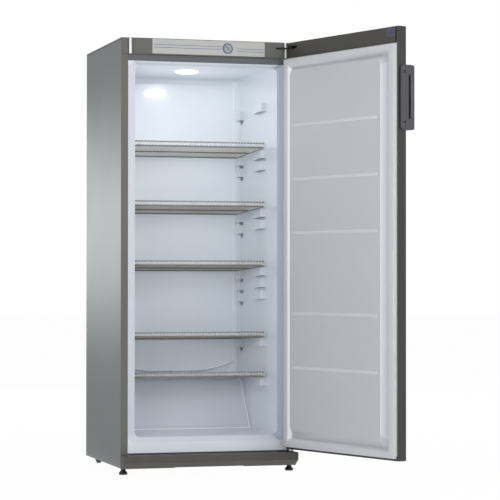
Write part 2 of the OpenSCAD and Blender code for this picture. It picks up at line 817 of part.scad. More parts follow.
module rear_roller_left() {
  color([0.1, 0.1, 0.1]) mirror([1, 0, 0]) rear_roller();
}

module rear_roller_right() {
  color([0.1, 0.1, 0.1]) rear_roller();
}

module roller_axles() {
  reach = roller_w / 2 + 4.5;
  color([0.7, 0.7, 0.7]) both_sides()
    rod_x(roller_x - reach, roller_x + reach, roller_y, roller_r, axle_r);
}

module compressor() {
  z = pot_z;
  seam = z + pot_h * 0.55;
  color([0.1, 0.1, 0.11]) difference() {
    union() {
      translate([pot_x, pot_y, 0]) rotate_extrude()
        polygon(concat([[0, z]],
          [for (a = [-90:18:0]) [pot_r - 26 + 26 * cos(a), z + 26 + 26 * sin(a)]],
          [[pot_r, seam], [pot_r + 3, seam], [pot_r + 3, seam + 4], [pot_r - 1, seam + 4]],
          [for (a = [0:15:90]) [pot_r - 41 + 40 * cos(a), z + pot_h - 40 + 40 * sin(a)]],
          [[0, z + pot_h]]));
      block([mount_x[0] - 12, mount_y[0] - 12, z - 3], [mount_x[1] + 12, mount_y[1] + 12, z + 1]);
      rod_x(pot_x + pot_r - 8, pot_x + pot_r + 8, pot_y + 20, z + 60, pipe_r + 1);
      rod_x(pot_x - pot_r - 12, pot_x - pot_r + 8, pot_y - 24, z + 62, pipe_r + 1);
    }
    for (x = mount_x, y = mount_y) rod_z(x, y, z - 4, z + 2, 7);
  }
}

module compressor_grommets() {
  color([0.05, 0.05, 0.05]) for (x = mount_x, y = mount_y) difference() {
    union() {
      rod_z(x, y, bed_z + 2, pot_z - 3 - run, 10);
      rod_z(x, y, bed_z + 3, pot_z + 3, 7 - fit);
      rod_z(x, y, pot_z + 1 + run, pot_z + 4, 10);
    }
    rod_z(x, y, bed_z + 1, pot_z + 6, 3.2);
  }
}

module compressor_bolts() {
  color([0.7, 0.7, 0.7]) for (x = mount_x, y = mount_y) {
    rod_z(x, y, frame_z - 3, pot_z + 8, 3);
    rod_z(x, y, pot_z + 4 + run, pot_z + 5.6, 8);
    translate([x, y, pot_z + 5.5]) cylinder(4, 5.5, 5.5, $fn = 6);
    translate([x, y, frame_z - 4]) cylinder(4 - run, 5.5, 5.5, $fn = 6);
  }
}

module terminal_box() {
  lo = [pot_x + pot_r + 3 + fit, pot_y - 40, pot_z + 74];
  gland = [lo[0] + 14, lo[2] + 16];
  color([0.14, 0.14, 0.15]) difference() {
    union() {
      block(lo, lo + [28, 80, 60]);
      rod_y(gland[0], lo[1] + 79, lo[1] + 90, gland[1], 8);
    }
    rod_y(gland[0], lo[1] + 70, lo[1] + 91, gland[1], 3.6);
  }
}

module filter_drier() {
  color([0.72, 0.45, 0.3]) translate([drier[0], drier[1], bed_z + 60]) rotate_extrude()
    polygon([[0, 0], [cap_r + 1, 0], [cap_r + 1, 8], [10, 18], [10, 92], [pipe_r, 100],
      [pipe_r, 110], [0, 110]]);
}

// pipe along straight legs, with a round joint at each inner point
module pipe(pts, r) {
  for (k = [0:len(pts) - 2]) {
    d = pts[k + 1] - pts[k];
    lo = [for (i = [0:2]) min(pts[k][i], pts[k + 1][i])];
    if (d[0] != 0) rod_x(lo[0], lo[0] + abs(d[0]), lo[1], lo[2], r);
    if (d[1] != 0) rod_y(lo[0], lo[1], lo[1] + abs(d[1]), lo[2], r);
    if (d[2] != 0) rod_z(lo[0], lo[1], lo[2], lo[2] + abs(d[2]), r);
  }
  for (k = [1:1:len(pts) - 2]) translate(pts[k]) sphere(r);
}

module refrigerant_pipes() {
  left = pot_x - pot_r - 12 - fit;
  right = pot_x + pot_r + 8 + fit;
  end_x = -coil_run / 2 - fit;
  z_in = pot_z + 62;
  z_out = pot_z + 60;
  turn_z = bay_top - 30;
  color([0.72, 0.42, 0.28]) {
    pipe([[left, pot_y - 24, z_in], [end_x - 3, pot_y - 24, z_in], [end_x - 3, coil_y, z_in],
      [end_x - 3, coil_y, coil_z[0]], [end_x, coil_y, coil_z[0]]], tube_r);
    pipe([[end_x, coil_y, coil_z[1]], [-coil_w / 2 - 8, coil_y, coil_z[1]],
      [-coil_w / 2 - 8, coil_y, turn_z], [-coil_w / 2 - 8, drier[1], turn_z],
      [drier[0], drier[1], turn_z], [drier[0], drier[1], bed_z + 170 + fit]], tube_r);
    pipe([[right, suction[1], z_out], [suction[0], suction[1], z_out],
      [suction[0], suction[1], bay_top + 22]], pipe_r);
    pipe([[drier[0], drier[1], bed_z + 60 - fit], [drier[0], drier[1], bed_z + 50],
      [capillary_x, drier[1], bed_z + 50], [capillary_x, drier[1], bay_top + 22]], cap_r);
  }
}

module evaporation_tray() {
  lo = [pot_x - 118, pot_y - 40];
  hi = [pot_x + 60, back_y + 36];
  color([0.12, 0.12, 0.13]) difference() {
    along_z(tray_z, tray_top) round_rect(lo, hi, 12);
    along_z(tray_z + 2, tray_top + eps) round_rect(lo + [2, 2], hi - [2, 2], 10);
  }
}

module condenser_coil() {
  color([0.08, 0.08, 0.08]) serpentine(coil_n, coil_run, coil_y, coil_z[0], coil_pitch, tube_r);
}

module condenser_wires() {
  color([0.1, 0.1, 0.1]) for (side = [-1, 1])
    translate([0, coil_y + side * (tube_r + run + fin_t / 2), 0])
      along_z(coil_z[0] - 15, coil_z[1] + 15) for (k = [0:fin_n - 1])
        translate([-fin_span / 2 + fin_span * k / (fin_n - 1), 0]) square(fin_t, center = true);
}

module condenser_clips() {
  color([0.15, 0.15, 0.15]) both_sides() for (k = [2, coil_n - 3]) {
    z = coil_z[0] + k * coil_pitch;
    difference() {
      block([clip_x, back_y + sheet_t + run, z - 9], [clip_x + 10, coil_y + tube_r + 4, z + 9]);
      rod_x(clip_x - eps, clip_x + 12, coil_y, z, tube_r + run);
      block([clip_x - eps, coil_y, z - 1.6], [clip_x + 12, coil_y + 20, z + 1.6]);
    }
  }
}

module wall_stops() {
  top = cab_h - top_rim - 6;
  color([0.2, 0.2, 0.2]) both_sides() {
    block([stop_x - 14, back_y + sheet_t + run, top - 24], [stop_x + 14, cab_d + stop_out, top]);
    block([stop_x - 22, back_y + sheet_t + run, top - 32], [stop_x + 22, back_y + 5, top + 4]);
  }
}

// Door, drawn shut

module door_plan(g, more = 0) {
  r = door_r - g;
  x = door_w / 2 - g;
  translate([-x, door_out + door_r]) square([2 * x, door_t - door_r + more]);
  translate([r - x, door_out + g]) square([2 * x - 2 * r, door_t - g + more]);
  for (s = [-1, 1]) translate([s * (x - r), door_out + door_r]) circle(r);
}

module hinge_notch() {
  block([slot_x[0], slot_y, slot_z[0]], [half_w + eps, door_in + eps, slot_z[1]]);
}

module handle_bores(r) {
  for (z = screw_z) rod_x(-half_w - 1, -half_w + 16, screw_y, z, r);
}

module door_skin() {
  color([0.4, 0.4, 0.39]) on_door() difference() {
    union() {
      along_z(door_z, door_top) difference() {
        door_plan(0);
        door_plan(sheet_t, eps);
      }
      both_sides() block([door_w / 2 - 12, door_in - sheet_t, low_cap_top + fit],
        [door_w / 2 - sheet_t / 2, door_in, cap_z - fit]);
    }
    hinge_notch();
    handle_bores(2.2);
  }
}

module plateau_solid(g) {
  hull() {
    along_y(liner_y - 0.2, liner_y) round_rect([g - plateau_foot[0], plateau_foot[1] + g],
      [plateau_foot[0] - g, plateau_foot[2] - g], 26, $fn = 32);
    along_y(liner_y + plateau_t - g - 0.2, liner_y + plateau_t - g)
      round_rect([g - plateau[0], plateau[1] + g], [plateau[0] - g, plateau[2] - g], 20, $fn = 32);
  }
}

module door_foam() {
  g = sheet_t + fit;
  color([0.93, 0.88, 0.62]) on_door() difference() {
    union() {
      intersection() {
        along_z(low_cap_top + fit, cap_z - fit) door_plan(g);
        block([-half_w, door_out, 0], [half_w, door_in - g, cab_h]);
      }
      block([13 - door_w / 2, door_in - g - 1, low_cap_top + 2],
        [door_w / 2 - 13, door_in - fit, cap_z - 2]);
      block([g + 3 - plateau_foot[0], door_in - 1, plateau_foot[1] + g + 3],
        [plateau_foot[0] - g - 3, liner_y - 0.1, plateau_foot[2] - g - 3]);
      plateau_solid(2 + fit);
    }
    handle_bores(2.2);
  }
}

module door_liner() {
  color([0.78, 0.79, 0.82]) on_door() {
    difference() {
      union() {
        block([5 - door_w / 2, door_in, low_cap_top + 1], [door_w / 2 - 5, liner_y, cap_z - 1]);
        plateau_solid(0);
      }
      plateau_solid(2);
      block([3 - plateau_foot[0], door_in - 1, plateau_foot[1] + 3],
        [plateau_foot[0] - 3, liner_y - 0.1, plateau_foot[2] - 3]);
    }
    for (z = rib_z) intersection() {
      y = liner_y + plateau_t - rib_r + rib_out;
      union() {
        rod_x(-rib_x, rib_x, y, z, rib_r);
        both_sides() translate([rib_x, y, z]) sphere(rib_r);
      }
      block([-half_w, liner_y + plateau_t - 1, 0], [half_w, liner_y + plateau_t + 10, cab_h]);
    }
  }
}

// one layer of the gasket frame, from a to b in from the door's edge, up to y
module seal_ring(a, b, y0, y1) {
  difference() {
    block([a - door_w / 2, y0, seal_z[0] + a - seal_in],
      [door_w / 2 - a, y1, seal_z[1] - a + seal_in]);
    block([b - door_w / 2, y0 - eps, seal_z[0] + b - seal_in],
      [door_w / 2 - b, y1 + eps, seal_z[1] - b + seal_in]);
  }
}

module door_gasket() {
  y = liner_y + run;
  a = seal_in;
  color([0.82, 0.82, 0.8]) on_door() {
    seal_ring(a, a + seal_w, y, y + 4);
    seal_ring(a + 3, a + seal_w - 3, y + 3, y + 7);
    seal_ring(a, a + seal_w - 1, y + 6, y + 10);
    seal_ring(a + 4, a + seal_w - 4, y + 9, y + 13);
    seal_ring(a + 1, a + seal_w - 1, y + 12, y + 14);
    seal_ring(a + 8.5, a + seal_w - 1, y + 13.5, y + seal_t - run);
  }
}

module cap_body(z0, z1) {
  along_z(z0, z1) door_plan(sheet_t + fit);
}

module door_top_cap() {
  color([0.3, 0.29, 0.28]) on_door() difference() {
    cap_body(cap_z, door_top);
    hinge_notch();
    rod_z(hinge_x, -hinge_y, cap_z + 2.5, slot_z[0] + eps, bush_r + fit);
    block([-slot_x[1] - fit, door_in - 8, cover_z[0] - fit],
      [-slot_x[0] + fit, door_in + eps, cover_z[1] + fit]);
    block([8 - door_w / 2, door_in - 6, cap_z - eps], [14 - door_w / 2, door_in + eps, cab_h]);
  }
}

module door_bottom_cap() {
  color([0.3, 0.29, 0.28]) on_door() difference() {
    cap_body(door_z, low_cap_top);
    rod_z(hinge_x, -hinge_y, door_z - eps, low_cap_top - 1, bush_r + fit);
  }
}

module hinge_slot_cover() {
  color([0.62, 0.65, 0.7]) on_door() {
    block([-slot_x[1], door_in - 2, cover_z[0]], [-slot_x[0], door_in, cover_z[1]]);
    for (x = [-slot_x[1] + 4, -slot_x[0] - 7])
      block([x, door_in - 7.7, cover_z[0] + 6], [x + 3, door_in - 1, cover_z[1] - 6]);
  }
}

module door_top_bush() {
  color([0.9, 0.9, 0.9]) on_door() difference() {
    rod_z(hinge_x, -hinge_y, cap_z + 3, slot_z[0], bush_r);
    rod_z(hinge_x, -hinge_y, cap_z + 2, slot_z[0] + eps, pin_r + run);
  }
}

module door_bottom_bush() {
  z = kick_z + fit + arm_t;
  color([0.9, 0.9, 0.9]) on_door() difference() {
    union() {
      rod_z(hinge_x, -hinge_y, z + fit, door_z - run, pivot_r);
      rod_z(hinge_x, -hinge_y, z + fit, low_cap_top - 1.5, bush_r);
    }
    rod_z(hinge_x, -hinge_y, z, low_cap_top, pin_r + run);
  }
}

module handle() {
  y0 = door_out - fit;
  y1 = door_out - handle_out;
  x0 = -half_w - handle_t;
  gap = [y1 + grip_t, y1 + grip_t + grip_gap];
  end = 33;
  color([0.36, 0.35, 0.38]) on_door() difference() {
    union() {
      intersection() {
        along_x(x0, x0 + grip_w) difference() {
          polygon(rounded([[y0, handle_z], [y1, handle_z], [y1, handle_z + handle_h],
            [y0, handle_z + handle_h]], [0, 12, 12, 0]));
          polygon(rounded([[gap[0], handle_z + end], [gap[1], handle_z + end],
            [gap[1], handle_z + handle_h - end + 4], [gap[0], handle_z + handle_h - end + 4]],
            [7, 7, 7, 7]));
        }
        along_z(handle_z - 1, handle_z + handle_h + 1)
          polygon(rounded([[x0, y0 + 1], [x0 + grip_w, y0 + 1], [x0 + grip_w, y1], [x0, y1]],
            [0, 0, 5, 5]));
      }
      along_x(x0, -half_w - run)
        polygon(rounded([[y0 - 2, handle_z], [door_out + handle_base, handle_z],
          [door_out + handle_base, handle_z + handle_h], [y0 - 2, handle_z + handle_h]],
          [0, 12, 12, 0]));
    }
    for (z = screw_z) rod_x(x0 - eps, -half_w + eps, screw_y, z, 2.2);
    for (z = screw_z) rod_x(x0 - eps, x0 + 2, screw_y, z, 4.6);
  }
}

module handle_screws() {
  x = -half_w - handle_t;
  color([0.5, 0.5, 0.52]) on_door() for (z = screw_z) {
    rod_x(x + 0.4, x + 2 - run, screw_y, z, 4.2);
    rod_x(x + 1, -half_w + 14, screw_y, z, 2.1);
  }
}

// Shelves, each drawn on its level's slope

module shelf(z) {
  r = rod_d / 2;
  half = shelf_w / 2 - r;
  y0 = shelf_y;
  y1 = shelf_y + shelf_d;
  yr = y0 + wire_d + r - 0.4;
  ya = y1 - r;
  deck = fit + rod_d - 0.4;
  top = slope_z(z, y0) + deck + wire_d + lip_h;
  pitch = (shelf_w - 27) / (wire_n - 1);
  $fn = 12;
  color([0.9, 0.91, 0.92]) {
    for (y = [yr, y0 + shelf_d * 0.54, ya])
      rod_x(-half - r / 2, half + r / 2, y, slope_z(z, y) + fit + r, r);
    rod_x(-half - r / 2, half + r / 2, yr, top - r, r);
    both_sides() {
      along_x(half - r + 0.2, half + r - 0.2)
        polygon([[yr, slope_z(z, yr) + fit], [ya, slope_z(z, ya) + fit],
          [ya, slope_z(z, ya) + fit + rod_d], [yr, slope_z(z, yr) + fit + rod_d]]);
      rod_z(half, yr, slope_z(z, yr) + fit + r / 2, top - r / 2, r);
    }
    for (k = [0:wire_n - 1]) {
      x = pitch * (k - (wire_n - 1) / 2);
      ye = y1 - 1;
      yf = y0 + wire_d;
      along_x(x - wire_d / 2, x + wire_d / 2)
        polygon(rounded([[ye, slope_z(z, ye) + deck], [y0, slope_z(z, y0) + deck],
          [y0, top - 1], [yf, top - 1], [yf, slope_z(z, yf) + deck + wire_d],
          [ye, slope_z(z, ye) + deck + wire_d]], [0, 4, 0, 0, 1, 0], 2));
    }
  }
}

module shelf_1() {
  shelf(level_2_z + shelf_levels[0] * level_pitch);
}

module shelf_2() {
  shelf(level_2_z + shelf_levels[1] * level_pitch);
}

module shelf_3() {
  shelf(level_2_z + shelf_levels[2] * level_pitch);
}

module shelf_4() {
  shelf(level_2_z + shelf_levels[3] * level_pitch);
}

module shelf_5() {
  shelf(level_z);
}

side_panel_left();
side_panel_right();
top_cover();
rear_wall_panel();
floor_pan();
insulation();
inner_liner();
evaporator();
drain_spout();
drain_hose();
lamp_holder();
lamp_bulb();
lamp_cover();
header_rail();
fascia();
control_plate();
thermostat();
control_knob();
top_hinge();
bottom_hinge();
hinge_screws();
base_frame();
kickplate();
front_foot_left();
front_foot_right();
rear_roller_left();
rear_roller_right();
roller_axles();
compressor();
compressor_grommets();
compressor_bolts();
terminal_box();
filter_drier();
refrigerant_pipes();
evaporation_tray();
condenser_coil();
condenser_wires();
condenser_clips();
wall_stops();
door_skin();
door_foam();
door_liner();
door_gasket();
door_top_cap();
door_bottom_cap();
hinge_slot_cover();
door_top_bush();
door_bottom_bush();
handle();
handle_screws();
shelf_1();
shelf_2();
shelf_3();
shelf_4();
shelf_5();
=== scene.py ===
"""Looks of an upright catering refrigerator with its door open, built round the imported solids."""
import json
import math

import bmesh
import bpy
from mathutils import Matrix, Vector

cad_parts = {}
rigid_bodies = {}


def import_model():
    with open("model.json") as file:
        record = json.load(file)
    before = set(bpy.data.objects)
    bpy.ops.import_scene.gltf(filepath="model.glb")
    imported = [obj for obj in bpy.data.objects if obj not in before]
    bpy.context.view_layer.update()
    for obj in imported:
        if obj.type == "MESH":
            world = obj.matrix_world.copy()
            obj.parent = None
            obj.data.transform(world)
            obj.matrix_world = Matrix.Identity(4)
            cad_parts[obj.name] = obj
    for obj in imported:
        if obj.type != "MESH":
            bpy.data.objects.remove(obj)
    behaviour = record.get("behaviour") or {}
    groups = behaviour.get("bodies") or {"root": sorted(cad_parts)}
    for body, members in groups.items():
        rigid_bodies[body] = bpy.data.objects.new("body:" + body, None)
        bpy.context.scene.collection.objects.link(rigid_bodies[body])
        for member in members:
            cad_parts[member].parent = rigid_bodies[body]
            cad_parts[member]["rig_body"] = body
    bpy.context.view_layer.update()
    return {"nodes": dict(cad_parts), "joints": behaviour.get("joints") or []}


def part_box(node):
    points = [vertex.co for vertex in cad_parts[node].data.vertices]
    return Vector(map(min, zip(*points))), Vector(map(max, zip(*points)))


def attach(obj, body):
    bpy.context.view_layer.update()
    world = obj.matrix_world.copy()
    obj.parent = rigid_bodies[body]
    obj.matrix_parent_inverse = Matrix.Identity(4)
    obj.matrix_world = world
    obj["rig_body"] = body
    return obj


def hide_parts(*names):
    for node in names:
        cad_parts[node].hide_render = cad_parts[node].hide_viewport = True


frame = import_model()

# Sizes of pieces are in millimetres; lamps, card, floor and camera are placed in metres
MM = 0.001
nodes = frame["nodes"]

# The solids come with the door open; these carry a place on the shut door to the open one and back
hinge = next(j for j in frame["joints"] if j["name"] == "door_hinge")
HINGE = Vector((hinge["pos_m"][0], hinge["pos_m"][1], 0))
OPEN_ANGLE = math.radians(-hinge["range_deg"][0])
OPEN_DOOR = (Matrix.Translation(HINGE) @ Matrix.Rotation(OPEN_ANGLE, 4, "Z")
             @ Matrix.Translation(-HINGE))
SHUT_DOOR = OPEN_DOOR.inverted()
OUTWARD = OPEN_DOOR.to_3x3() @ Vector((0, -1, 0))
INWARD = -OUTWARD
TO_HINGE = OPEN_DOOR.to_3x3() @ Vector((1, 0, 0))


# Node helpers

def from_screen(red, green, blue):
    """Linear colour of an 8-bit screen colour."""
    def channel(value):
        share = value / 255
        return share / 12.92 if share <= 0.04045 else ((share + 0.055) / 1.055) ** 2.4
    return (channel(red), channel(green), channel(blue), 1.0)


def add_socket(tree, name, kind, default=None, way="INPUT"):
    made = tree.interface.new_socket(name=name, in_out=way, socket_type="NodeSocket" + kind)
    if default is not None:
        made.default_value = default


def set_inputs(node, values):
    for name, value in values.items():
        node.inputs[name].default_value = value


def wire_up(tree, *links):
    """Each link is a node, its output, the next node and that one's input."""
    for source, leaving, target, entering in links:
        tree.links.new(source.outputs[leaving], target.inputs[entering])


def empty_tree(holder, output_kind):
    """Tree of a material or world with nothing but its output node, and that node."""
    holder.use_nodes = True
    tree = holder.node_tree
    tree.nodes.clear()
    return tree, tree.nodes.new(output_kind)


# The finish that all surfaces share

def make_finish_group():
    """Slow clouds of tone and gloss over a fine grain, from object coordinates."""
    tree = bpy.data.node_groups.new("surface_finish", "ShaderNodeTree")
    for name, kind, default in (("Vector", "Vector", None), ("Tone", "Color", (0.5, 0.5, 0.5, 1)),
                                ("Shade", "Color", (0.4, 0.4, 0.4, 1)), ("Cloud Scale", "Float", 6),
                                ("Grain Scale", "Float", 900), ("Gloss Low", "Float", 0.3),
                                ("Gloss High", "Float", 0.4)):
        add_socket(tree, name, kind, default)
    for name, kind in (("Colour", "Color"), ("Roughness", "Float"), ("Height", "Float")):
        add_socket(tree, name, kind, way="OUTPUT")
    add = tree.nodes.new
    given = add("NodeGroupInput")
    result = add("NodeGroupOutput")
    clouds = add("ShaderNodeTexNoise")
    clouds.inputs["Detail"].default_value = 3
    grain = add("ShaderNodeTexNoise")
    grain.inputs["Detail"].default_value = 2
    tint = add("ShaderNodeMix")
    tint.data_type = "RGBA"
    gloss = add("ShaderNodeMapRange")
    wire_up(tree, (given, "Vector", clouds, "Vector"), (given, "Cloud Scale", clouds, "Scale"),
            (given, "Vector", grain, "Vector"), (given, "Grain Scale", grain, "Scale"),
            (clouds, "Fac", tint, "Factor"), (given, "Tone", tint, "A"),
            (given, "Shade", tint, "B"), (clouds, "Fac", gloss, "Value"),
            (given, "Gloss Low", gloss, "To Min"), (given, "Gloss High", gloss, "To Max"),
            (tint, "Result", result, "Colour"), (gloss, "Result", result, "Roughness"),
            (grain, "Fac", result, "Height"))
    return tree


FINISH = make_finish_group()


def finish(name, tone, shade, gloss, texture, metal=0.0, coat=0.0, stretch=(1, 1, 1), glow=0.0,
           light_through=0.0):
    """One material: two tones, the lowest and highest roughness, and one of the textures."""
    cloud, grain, relief, depth = texture
    material = bpy.data.materials.new(name)
    tree, end = empty_tree(material, "ShaderNodeOutputMaterial")
    shader = tree.nodes.new("ShaderNodeBsdfPrincipled")
    place = tree.nodes.new("ShaderNodeTexCoord")
    scaled = tree.nodes.new("ShaderNodeMapping")
    surface = tree.nodes.new("ShaderNodeGroup")
    surface.node_tree = FINISH
    bump = tree.nodes.new("ShaderNodeBump")
    wire_up(tree, (place, "Object", scaled, "Vector"), (scaled, "Vector", surface, "Vector"),
            (surface, "Colour", shader, "Base Color"),
            (surface, "Roughness", shader, "Roughness"), (surface, "Height", bump, "Height"),
            (bump, "Normal", shader, "Normal"), (shader, "BSDF", end, "Surface"))
    set_inputs(scaled, {"Scale": stretch})
    set_inputs(surface, {"Tone": from_screen(*tone), "Shade": from_screen(*shade),
                         "Cloud Scale": cloud, "Grain Scale": grain,
                         "Gloss Low": gloss[0], "Gloss High": gloss[1]})
    set_inputs(bump, {"Strength": relief, "Distance": depth * MM})
    set_inputs(shader, {"Metallic": metal, "Coat Weight": coat,
                        "Transmission Weight": light_through})
    if glow:
        set_inputs(shader, {"Emission Color": from_screen(*tone), "Emission Strength": glow})
    return material


# Textures: scale of the clouds, scale of the grain, strength of the relief and its depth
SHEET_PAINT = (3, 420, 0.05, 0.2)
RAIL_PAINT = (8, 420, 0.05, 0.2)
FRAME_COAT = (12, 500, 0.1, 0.2)
GLOSS_COAT = (10, 300, 0.12, 0.3)
WIRE_DIP = (60, 700, 0.15, 0.08)
PLATED = (60, 700, 0.15, 0.05)
ROLLED_SHEET = (45, 160, 0.1, 0.1)
BRUSHED = (30, 420, 0.25, 0.05)
DRAWN_TUBE = (50, 600, 0.1, 0.05)
FORMED_LINER = (4, 260, 0.04, 0.3)
FORMED_DOOR = (4, 260, 0.06, 0.3)
FORMED_BEAD = (20, 500, 0.04, 0.1)
FINE_MOULD = (30, 1800, 0.35, 0.12)
KICK_MOULD = (24, 1500, 0.4, 0.15)
COVER_MOULD = (20, 1500, 0.4, 0.15)
HANDLE_MOULD = (30, 1600, 0.35, 0.12)
GRIP_MOULD = (30, 1600, 0.25, 0.12)
BLACK_MOULD = (30, 1400, 0.3, 0.12)
SMALL_MOULD = (40, 1400, 0.2, 0.08)
PALE_MOULD = (30, 900, 0.15, 0.08)
BEAD_HIGHLIGHT_MOULD = (30, 900, 0.05, 0.05)
DOME_MOULD = (30, 500, 0.1, 0.1)
CLEAR_GLASS = (30, 500, 0.1, 0.05)
PLATE_INK = (40, 900, 0.1, 0.05)
KNOB_SHADE_GRAIN = (40, 1400, 0.1, 0.05)
SOFT_RUBBER = (24, 1200, 0.25, 0.1)
HARD_RUBBER = (40, 900, 0.3, 0.15)
FOAM_CELLS = (40, 300, 0.6, 0.6)

# Sheet metal and its paint
LACQUER = finish("silver_lacquer", (125, 130, 131), (117, 122, 123), (0.27, 0.33), SHEET_PAINT,
                 metal=0.85, coat=0.1)
# The side panels' front faces: their own lacquer painted darker and duller, as painted shade
FLANGE_SHADE = finish("front_flange_painted_shade", (106, 105, 100), (98, 97, 92), (0.45, 0.55), SHEET_PAINT,
                metal=0.3)
# Faces of the door's sheet that don't face out: the same lacquer painted darker, as painted shade
DOOR_EDGE_SHADE = finish("door_edge_painted_shade", (68, 67, 65), (61, 60, 58), (0.3, 0.38), SHEET_PAINT,
                   metal=0.6, coat=0.1)
RAIL = finish("rail_lacquer", (96, 98, 101), (89, 91, 94), (0.35, 0.45), RAIL_PAINT, metal=0.3)
FRAME_PAINT = finish("frame_paint", (58, 58, 60), (50, 50, 52), (0.4, 0.5), FRAME_COAT)
# Tone set dark to match the hinges' shaded undersides and the recessed handle screws: painted shade
SHADED_STEEL = finish("hinge_painted_shade", (44, 44, 45), (36, 36, 37), (0.35, 0.5), PLATED, metal=0.4)
ZINC = finish("zinc_plate", (190, 190, 188), (170, 170, 172), (0.3, 0.45), PLATED, metal=0.9)
BARE_SHEET = finish("galvanised_sheet", (168, 171, 174), (148, 152, 156), (0.35, 0.5),
                    ROLLED_SHEET, metal=0.8)
BLACK_GLOSS = finish("compressor_paint", (22, 22, 24), (28, 28, 30), (0.2, 0.32), GLOSS_COAT,
                     coat=0.4)
COPPER = finish("copper_tube", (196, 120, 82), (158, 92, 64), (0.28, 0.45), DRAWN_TUBE, metal=1.0)
BLACK_WIRE = finish("condenser_paint", (28, 28, 28), (36, 36, 35), (0.4, 0.55), WIRE_DIP)

# Liner of the compartment, and copies of it with painted shade and painted highlights
LINER = finish("liner_plastic", (233, 239, 246), (229, 236, 244), (0.2, 0.28), FORMED_LINER,
               coat=0.3)
# Liner painted a little darker on the mouth's left and lower bands, the hump's slopes and the front
# rim: painted shade
LINER_MOUTH_SHADE = finish("liner_mouth_painted_shade", (214, 218, 225), (210, 214, 222), (0.3, 0.4), FORMED_LINER,
                     coat=0.15)
LINER_SHADE = finish("liner_in_shade", (172, 180, 194), (166, 174, 188), (0.35, 0.45),
                     FORMED_LINER)
# Front faces of the ledges, painted darker than the wall: painted shade
LEDGE_FRONT_SHADE = finish("ledge_front_painted_shade", (206, 212, 220), (200, 206, 215), (0.3, 0.4), FORMED_LINER)
# Dark patches under the rear ledges: painted shade
LEDGE_SHADE_PATCH = finish("ledge_shade_patch", (128, 142, 162), (122, 136, 156), (0.4, 0.5), FORMED_LINER)
# Whiter, glossier copy of the liner that glows faintly: painted highlight on the beads
LINER_BEAD_HIGHLIGHT = finish("liner_bead_highlight", (244, 247, 251), (240, 244, 248), (0.12, 0.18), FORMED_BEAD,
                    coat=0.5, glow=0.03)

# Inside of the door
# The door's liner is painted greyer than the compartment's liner, as painted shade
DOOR_LINER = finish("door_liner_plastic", (197, 197, 202), (192, 192, 197), (0.28, 0.36),
                    FORMED_DOOR)
# Lighter copy of the door's liner on the ribs: painted highlight
DOOR_RIB_HIGHLIGHT = finish("door_rib_highlight", (220, 221, 225), (215, 216, 221), (0.2, 0.28), FORMED_DOOR,
                  coat=0.2)
# Near-white copy of the door's liner on the field's hinge-side slope and the gasket's skirt, which
# lie in shade: painted light
DOOR_PAINTED_LIGHT = finish("door_painted_light", (248, 248, 250), (244, 244, 247), (0.3, 0.4), FORMED_DOOR)
# Lighter copy of the door's liner on the field's free-side slope: painted sheen
DOOR_SLOPE_SHEEN = finish("door_slope_painted_sheen", (212, 212, 218), (207, 207, 213), (0.3, 0.4), FORMED_DOOR)
SEAL = finish("seal_rubber", (207, 207, 210), (198, 198, 201), (0.5, 0.62), SOFT_RUBBER)
# Copy of the seal for its hinge side, tuned to the shade there: painted shade
SEAL_SHADE = finish("seal_painted_shade", (206, 202, 204), (198, 194, 196), (0.5, 0.62), SOFT_RUBBER)

# Head and knob
FASCIA = finish("fascia_plastic", (96, 95, 93), (88, 87, 85), (0.42, 0.55), FINE_MOULD)
# Near-white glossy colour on the fascia's beads: painted highlight
BEAD_HIGHLIGHT = finish("fascia_bead_highlight", (232, 233, 233), (220, 221, 222), (0.12, 0.2), BEAD_HIGHLIGHT_MOULD, coat=0.6)
PLATE = finish("brushed_plate", (180, 180, 176), (168, 168, 164), (0.4, 0.5), BRUSHED, metal=0.15,
               stretch=(0.6, 8, 60))
PRINT = finish("blue_print", (34, 54, 122), (30, 48, 112), (0.45, 0.5), PLATE_INK)
KNOB = finish("knob_plastic", (158, 161, 166), (146, 149, 155), (0.25, 0.35), SMALL_MOULD)
# Dark colour of the strip on the knob's bar: painted shade
KNOB_BAR_SHADE = finish("knob_bar_painted_shade", (26, 30, 50), (22, 26, 44), (0.4, 0.5), KNOB_SHADE_GRAIN)

# Other plastics, rubber, foam and the lamp
CAP = finish("cap_plastic", (60, 58, 56), (54, 52, 50), (0.4, 0.52), FINE_MOULD)
KICK = finish("kick_plastic", (76, 73, 69), (68, 65, 61), (0.45, 0.58), KICK_MOULD)
COVER = finish("cover_plastic", (84, 84, 82), (74, 74, 72), (0.45, 0.58), COVER_MOULD)
HANDLE = finish("handle_plastic", (72, 71, 77), (64, 63, 69), (0.38, 0.48), HANDLE_MOULD)
# Painted light on the handle slot's walls, and painted shade on its deep side
GRIP_LIT = finish("grip_painted_light", (140, 138, 146), (128, 126, 134), (0.3, 0.4), GRIP_MOULD)
GRIP_SHADE = finish("grip_painted_shade", (34, 34, 39), (30, 30, 35), (0.4, 0.5), GRIP_MOULD)
SLOT_COVER = finish("slot_cover_plastic", (82, 87, 95), (75, 80, 88), (0.35, 0.45), SMALL_MOULD)
SLOT_FIELD = finish("slot_cover_field", (66, 70, 77), (60, 64, 71), (0.45, 0.55), SMALL_MOULD)
BLACK_PLASTIC = finish("black_plastic", (30, 30, 31), (24, 24, 25), (0.45, 0.6), BLACK_MOULD)
PALE_PLASTIC = finish("pale_plastic", (226, 226, 222), (214, 214, 210), (0.35, 0.5), PALE_MOULD)
RUBBER = finish("black_rubber", (26, 26, 26), (34, 34, 34), (0.6, 0.75), HARD_RUBBER)
FOAM = finish("rigid_foam", (222, 200, 128), (206, 182, 110), (0.8, 0.9), FOAM_CELLS)
DOME = finish("lamp_dome_plastic", (246, 250, 255), (238, 244, 252), (0.2, 0.3), DOME_MOULD,
              glow=0.9)
